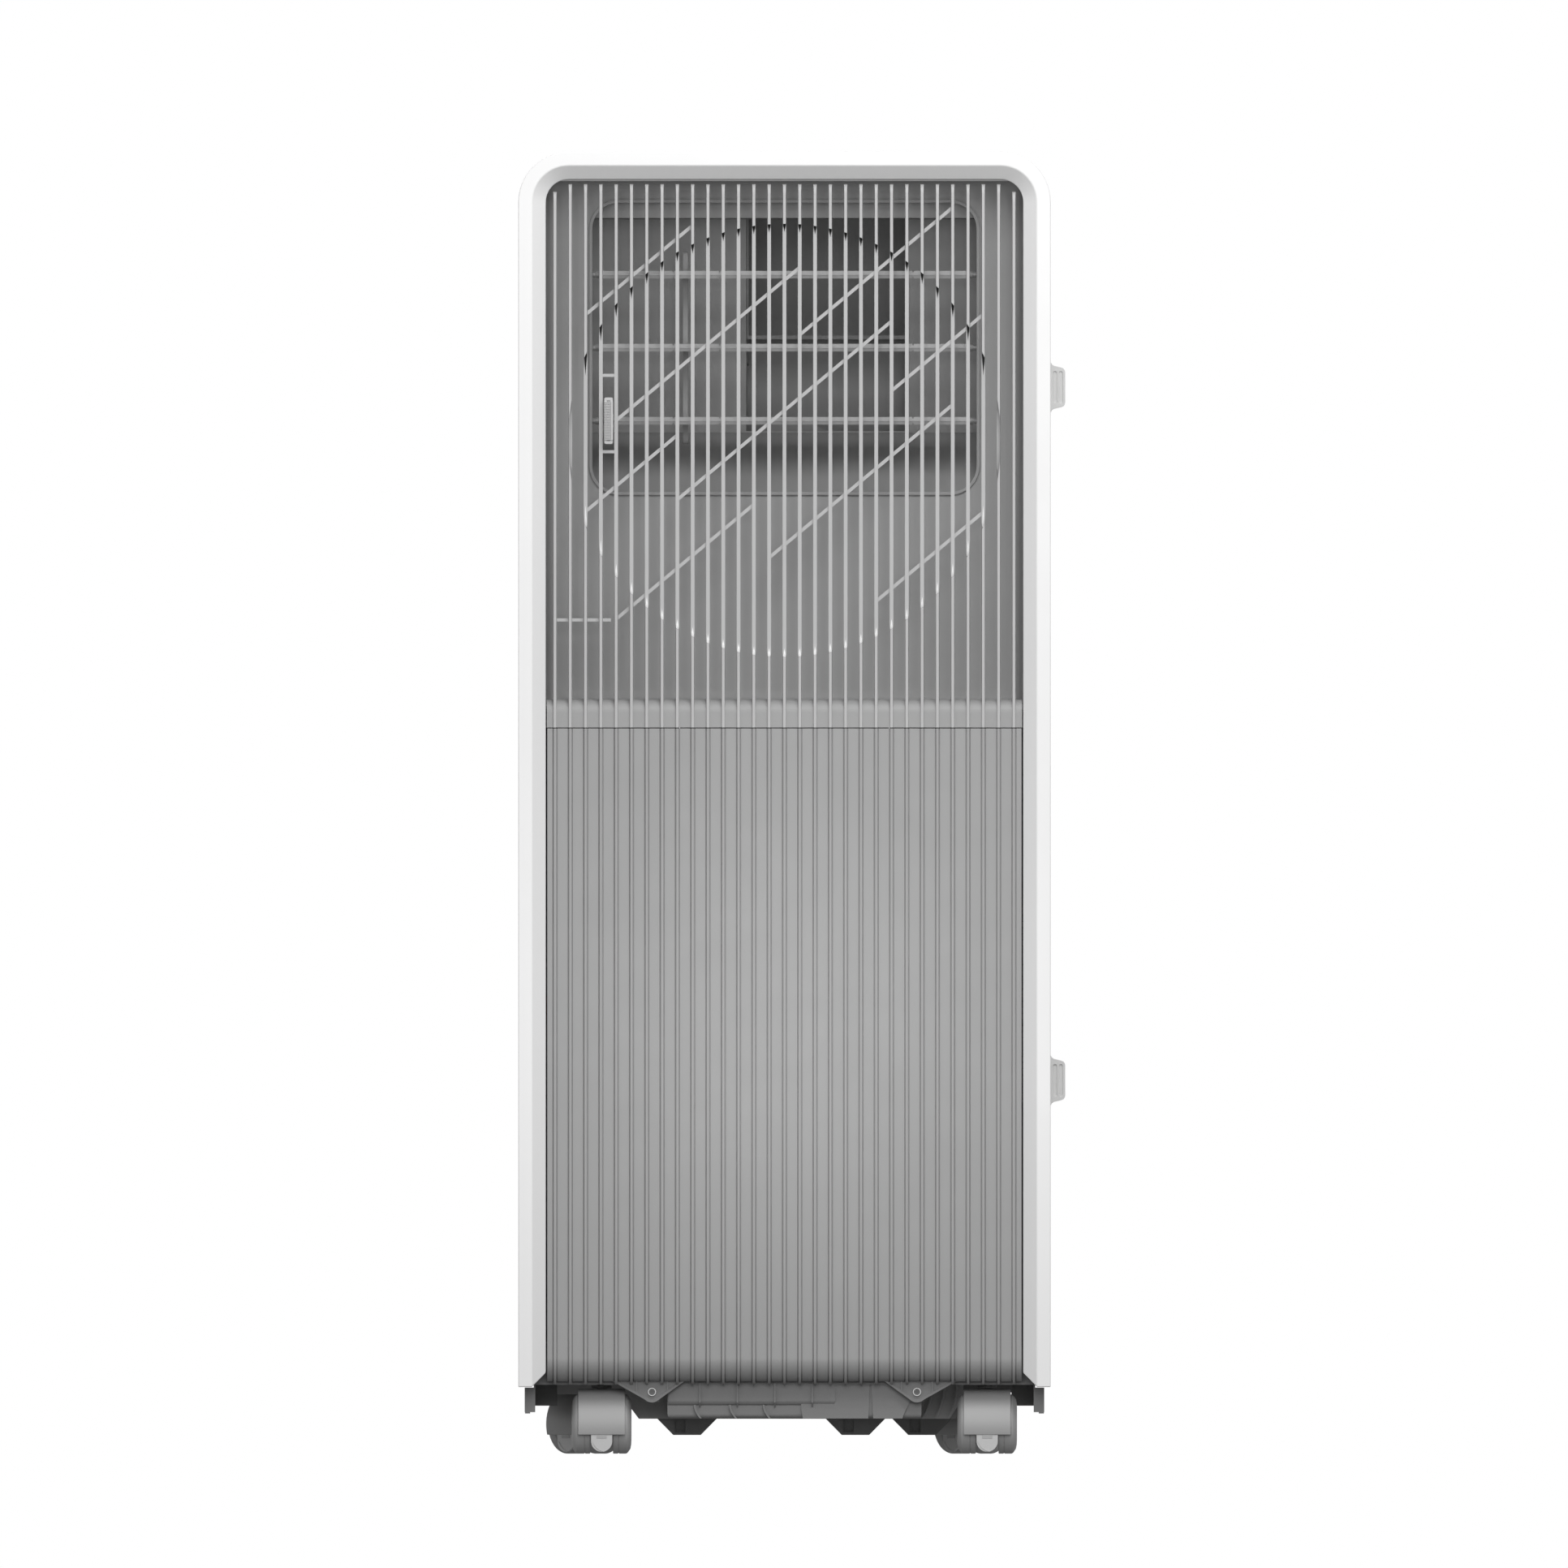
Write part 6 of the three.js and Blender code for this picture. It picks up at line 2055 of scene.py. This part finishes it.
# ---------------------------------------- what stays as packed
@dataclass
class CoolingPlant(SubAssembly):
    """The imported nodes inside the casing, which keep their shape and get a finish of their own."""

    finishes: tuple[tuple[str, Finish], ...] = (
        ("control_board", BOARD_GREEN), ("divider_tray", INNER_GREY), ("upper_scroll", BLOWER_DARK),
        ("lower_scroll", INNER_GREY), ("upper_blower_wheel", BLOWER_DARK),
        ("lower_blower_wheel", BASE_GREY), ("upper_fan_motor", BLOWER_DARK), ("lower_fan_motor", ZINC),
        ("evaporator_coil", COIL_FINS), ("condenser_coil", COIL_FINS), ("compressor", ENAMEL),
        ("discharge_pipe", COPPER), ("suction_pipe", COPPER), ("control_box", INNER_GREY),
    )

    def build(self, nodes: dict[str, Node]) -> None:
        """Paints each node that stays in view.

        Args:
            nodes: the frame's nodes by name.
        """
        for name, finish in self.finishes:
            self.paint.coat(nodes[name], finish)
            LOG.info("%s keeps its packed shape", name)


# ---------------------------------------- studio
@dataclass
class Studio:
    """A pale floor, soft lights and a level camera square to the front."""

    datum: Datum
    frame_height: float = 1.0249
    aim: UV = (-0.3, 437.7)
    distance: float = 3.0
    heights: tuple[UV, ...] = ((0.0, 0.17), (0.47, 0.17), (0.495, 1.0), (0.51, 1.0), (0.58, 0.5), (0.8, 0.62),
                               (1.0, 0.65))

    def build(self) -> None:
        """Sets the room up."""
        scene = bpy.context.scene
        scene.view_settings.view_transform = "Standard"
        self.floor()
        self.sky()
        self.lamp("top_right", (0.3, -1.4, 1.65), (0.8, 0.8), 14.5)
        self.lamp("front", (0.0, -2.6, 0.8), (1.0, 1.0), 19)
        self.lamp("rear", (-0.6, 1.8, 1.6), (1.4, 1.4), 18)
        self.spot("panel", (0.0, -1.7, 0.28), (0.0, 0.0, 0.28), 15, 22)
        self.camera(scene)

    def floor(self) -> None:
        """Lays a wide pale floor."""
        Bench.clear()
        bpy.ops.mesh.primitive_plane_add(size=14, location=(0, 0, 0))
        floor = bpy.context.object
        floor.name = "studio_floor"
        Paint().coat(floor, Finish("floor_white", "casing", (0.9, 0.9, 0.9), 0.7, grain=0.0, mottle=0.0))
        floor.visible_diffuse = floor.visible_glossy = False

    def sky(self) -> None:
        """Lights the room in white from above the horizon, and dimly from below it."""
        world = bpy.data.worlds.new("studio")
        world.use_nodes = True
        nodes, links = world.node_tree.nodes, world.node_tree.links
        height = nodes.new("ShaderNodeSeparateXYZ")
        share = nodes.new("ShaderNodeMapRange")
        share.inputs["From Min"].default_value = -1.0
        ramp = nodes.new("ShaderNodeValToRGB").color_ramp
        while len(ramp.elements) < len(self.heights):
            ramp.elements.new(0.5)
        for element, (place, level) in zip(ramp.elements, self.heights):
            element.position = place
            element.color = (level, level, level, 1)
        links.new(nodes.new("ShaderNodeTexCoord").outputs["Generated"], height.inputs["Vector"])
        links.new(height.outputs["Z"], share.inputs["Value"])
        links.new(share.outputs["Result"], nodes["Color Ramp"].inputs["Fac"])
        links.new(nodes["Color Ramp"].outputs["Color"], nodes["Background"].inputs["Strength"])
        nodes["Background"].inputs["Color"].default_value = (1, 1, 1, 1)
        bpy.context.scene.world = world

    def spot(self, name: str, place: Sequence[float], aim: Sequence[float], degrees: float, watts: float) -> None:
        """Hangs a spot lamp with a soft edge.

        Args:
            name: the lamp's name.
            place: where it hangs, in metres.
            aim: where it points, in metres.
            degrees: the full angle of its cone.
            watts: its power.
        """
        light = bpy.data.lights.new(name, "SPOT")
        light.spot_size = math.radians(degrees)
        light.spot_blend = 1.0
        light.shadow_soft_size = 0.12
        light.energy = watts
        lamp = bpy.data.objects.new(name, light)
        lamp.location = place
        lamp.rotation_euler = (Vector(aim) - Vector(place)).to_track_quat("-Z", "Y").to_euler()
        bpy.context.scene.collection.objects.link(lamp)

    def lamp(self, name: str, place: Sequence[float], size: UV, watts: float) -> None:
        """Hangs a soft rectangular lamp that looks at the middle of the casing.

        Args:
            name: the lamp's name.
            place: where it hangs, in metres.
            size: its width and height, in metres.
            watts: its power.
        """
        light = bpy.data.lights.new(name, "AREA")
        light.shape = "RECTANGLE"
        light.size, light.size_y = size
        light.energy = watts
        lamp = bpy.data.objects.new(name, light)
        lamp.location = place
        lamp.rotation_euler = (Vector((0, 0, 0.45)) - Vector(place)).to_track_quat("-Z", "Y").to_euler()
        bpy.context.scene.collection.objects.link(lamp)

    def camera(self, scene: bpy.types.Scene) -> None:
        """Sets a level camera without perspective, square to the front.

        Args:
            scene: the scene it looks at.
        """
        view = bpy.data.cameras.new("front_view")
        view.type = "ORTHO"
        view.ortho_scale = self.frame_height
        view.clip_end = 20
        camera = bpy.data.objects.new("front_view", view)
        place = self.datum.metres((self.aim[0], 0, self.aim[1]))
        camera.location = (place.x, -self.distance, place.z)
        camera.rotation_euler = (math.pi / 2, 0, 0)
        scene.collection.objects.link(camera)
        scene.camera = camera


CASTER_SPOTS = (
    CasterSpot("front_left", -119.5, -105.0, 0.0), CasterSpot("front_right", 132.5, -105.0, 0.0),
    CasterSpot("rear_left", -119.5, 115.0, -39.0), CasterSpot("rear_right", 132.5, 115.0, -39.0),
)


def main() -> None:
    """Loads the frame, builds every sub-assembly on it and writes how large the result is."""
    logging.basicConfig(level=logging.INFO, format="%(message)s")
    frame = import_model()
    low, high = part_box("outer_casing")
    datum = Datum((low.x + high.x) / 2)
    bench, paint = Bench(datum), Paint()
    sizes, bars = CasingSizes.from_frame(), BarSizes()
    Studio(datum).build()
    Casing(bench, paint, sizes).build()
    ControlPanel(bench, paint, sizes.top).build()
    FrontGrille(bench, paint, sizes, bars).build()
    LowerPanel(bench, paint, sizes, bars).build()
    AirOutlet(bench, paint, sizes, OutletSizes()).build()
    RearCover(bench, paint, sizes, RearSizes()).build()
    BasePan(bench, paint, [(spot.x, spot.y) for spot in CASTER_SPOTS]).build()
    Casters(bench, paint, CASTER_SPOTS).build()
    CoolingPlant(bench, paint).build(frame["nodes"])
    bench.clear()


if __name__ == "__main__":
    main()
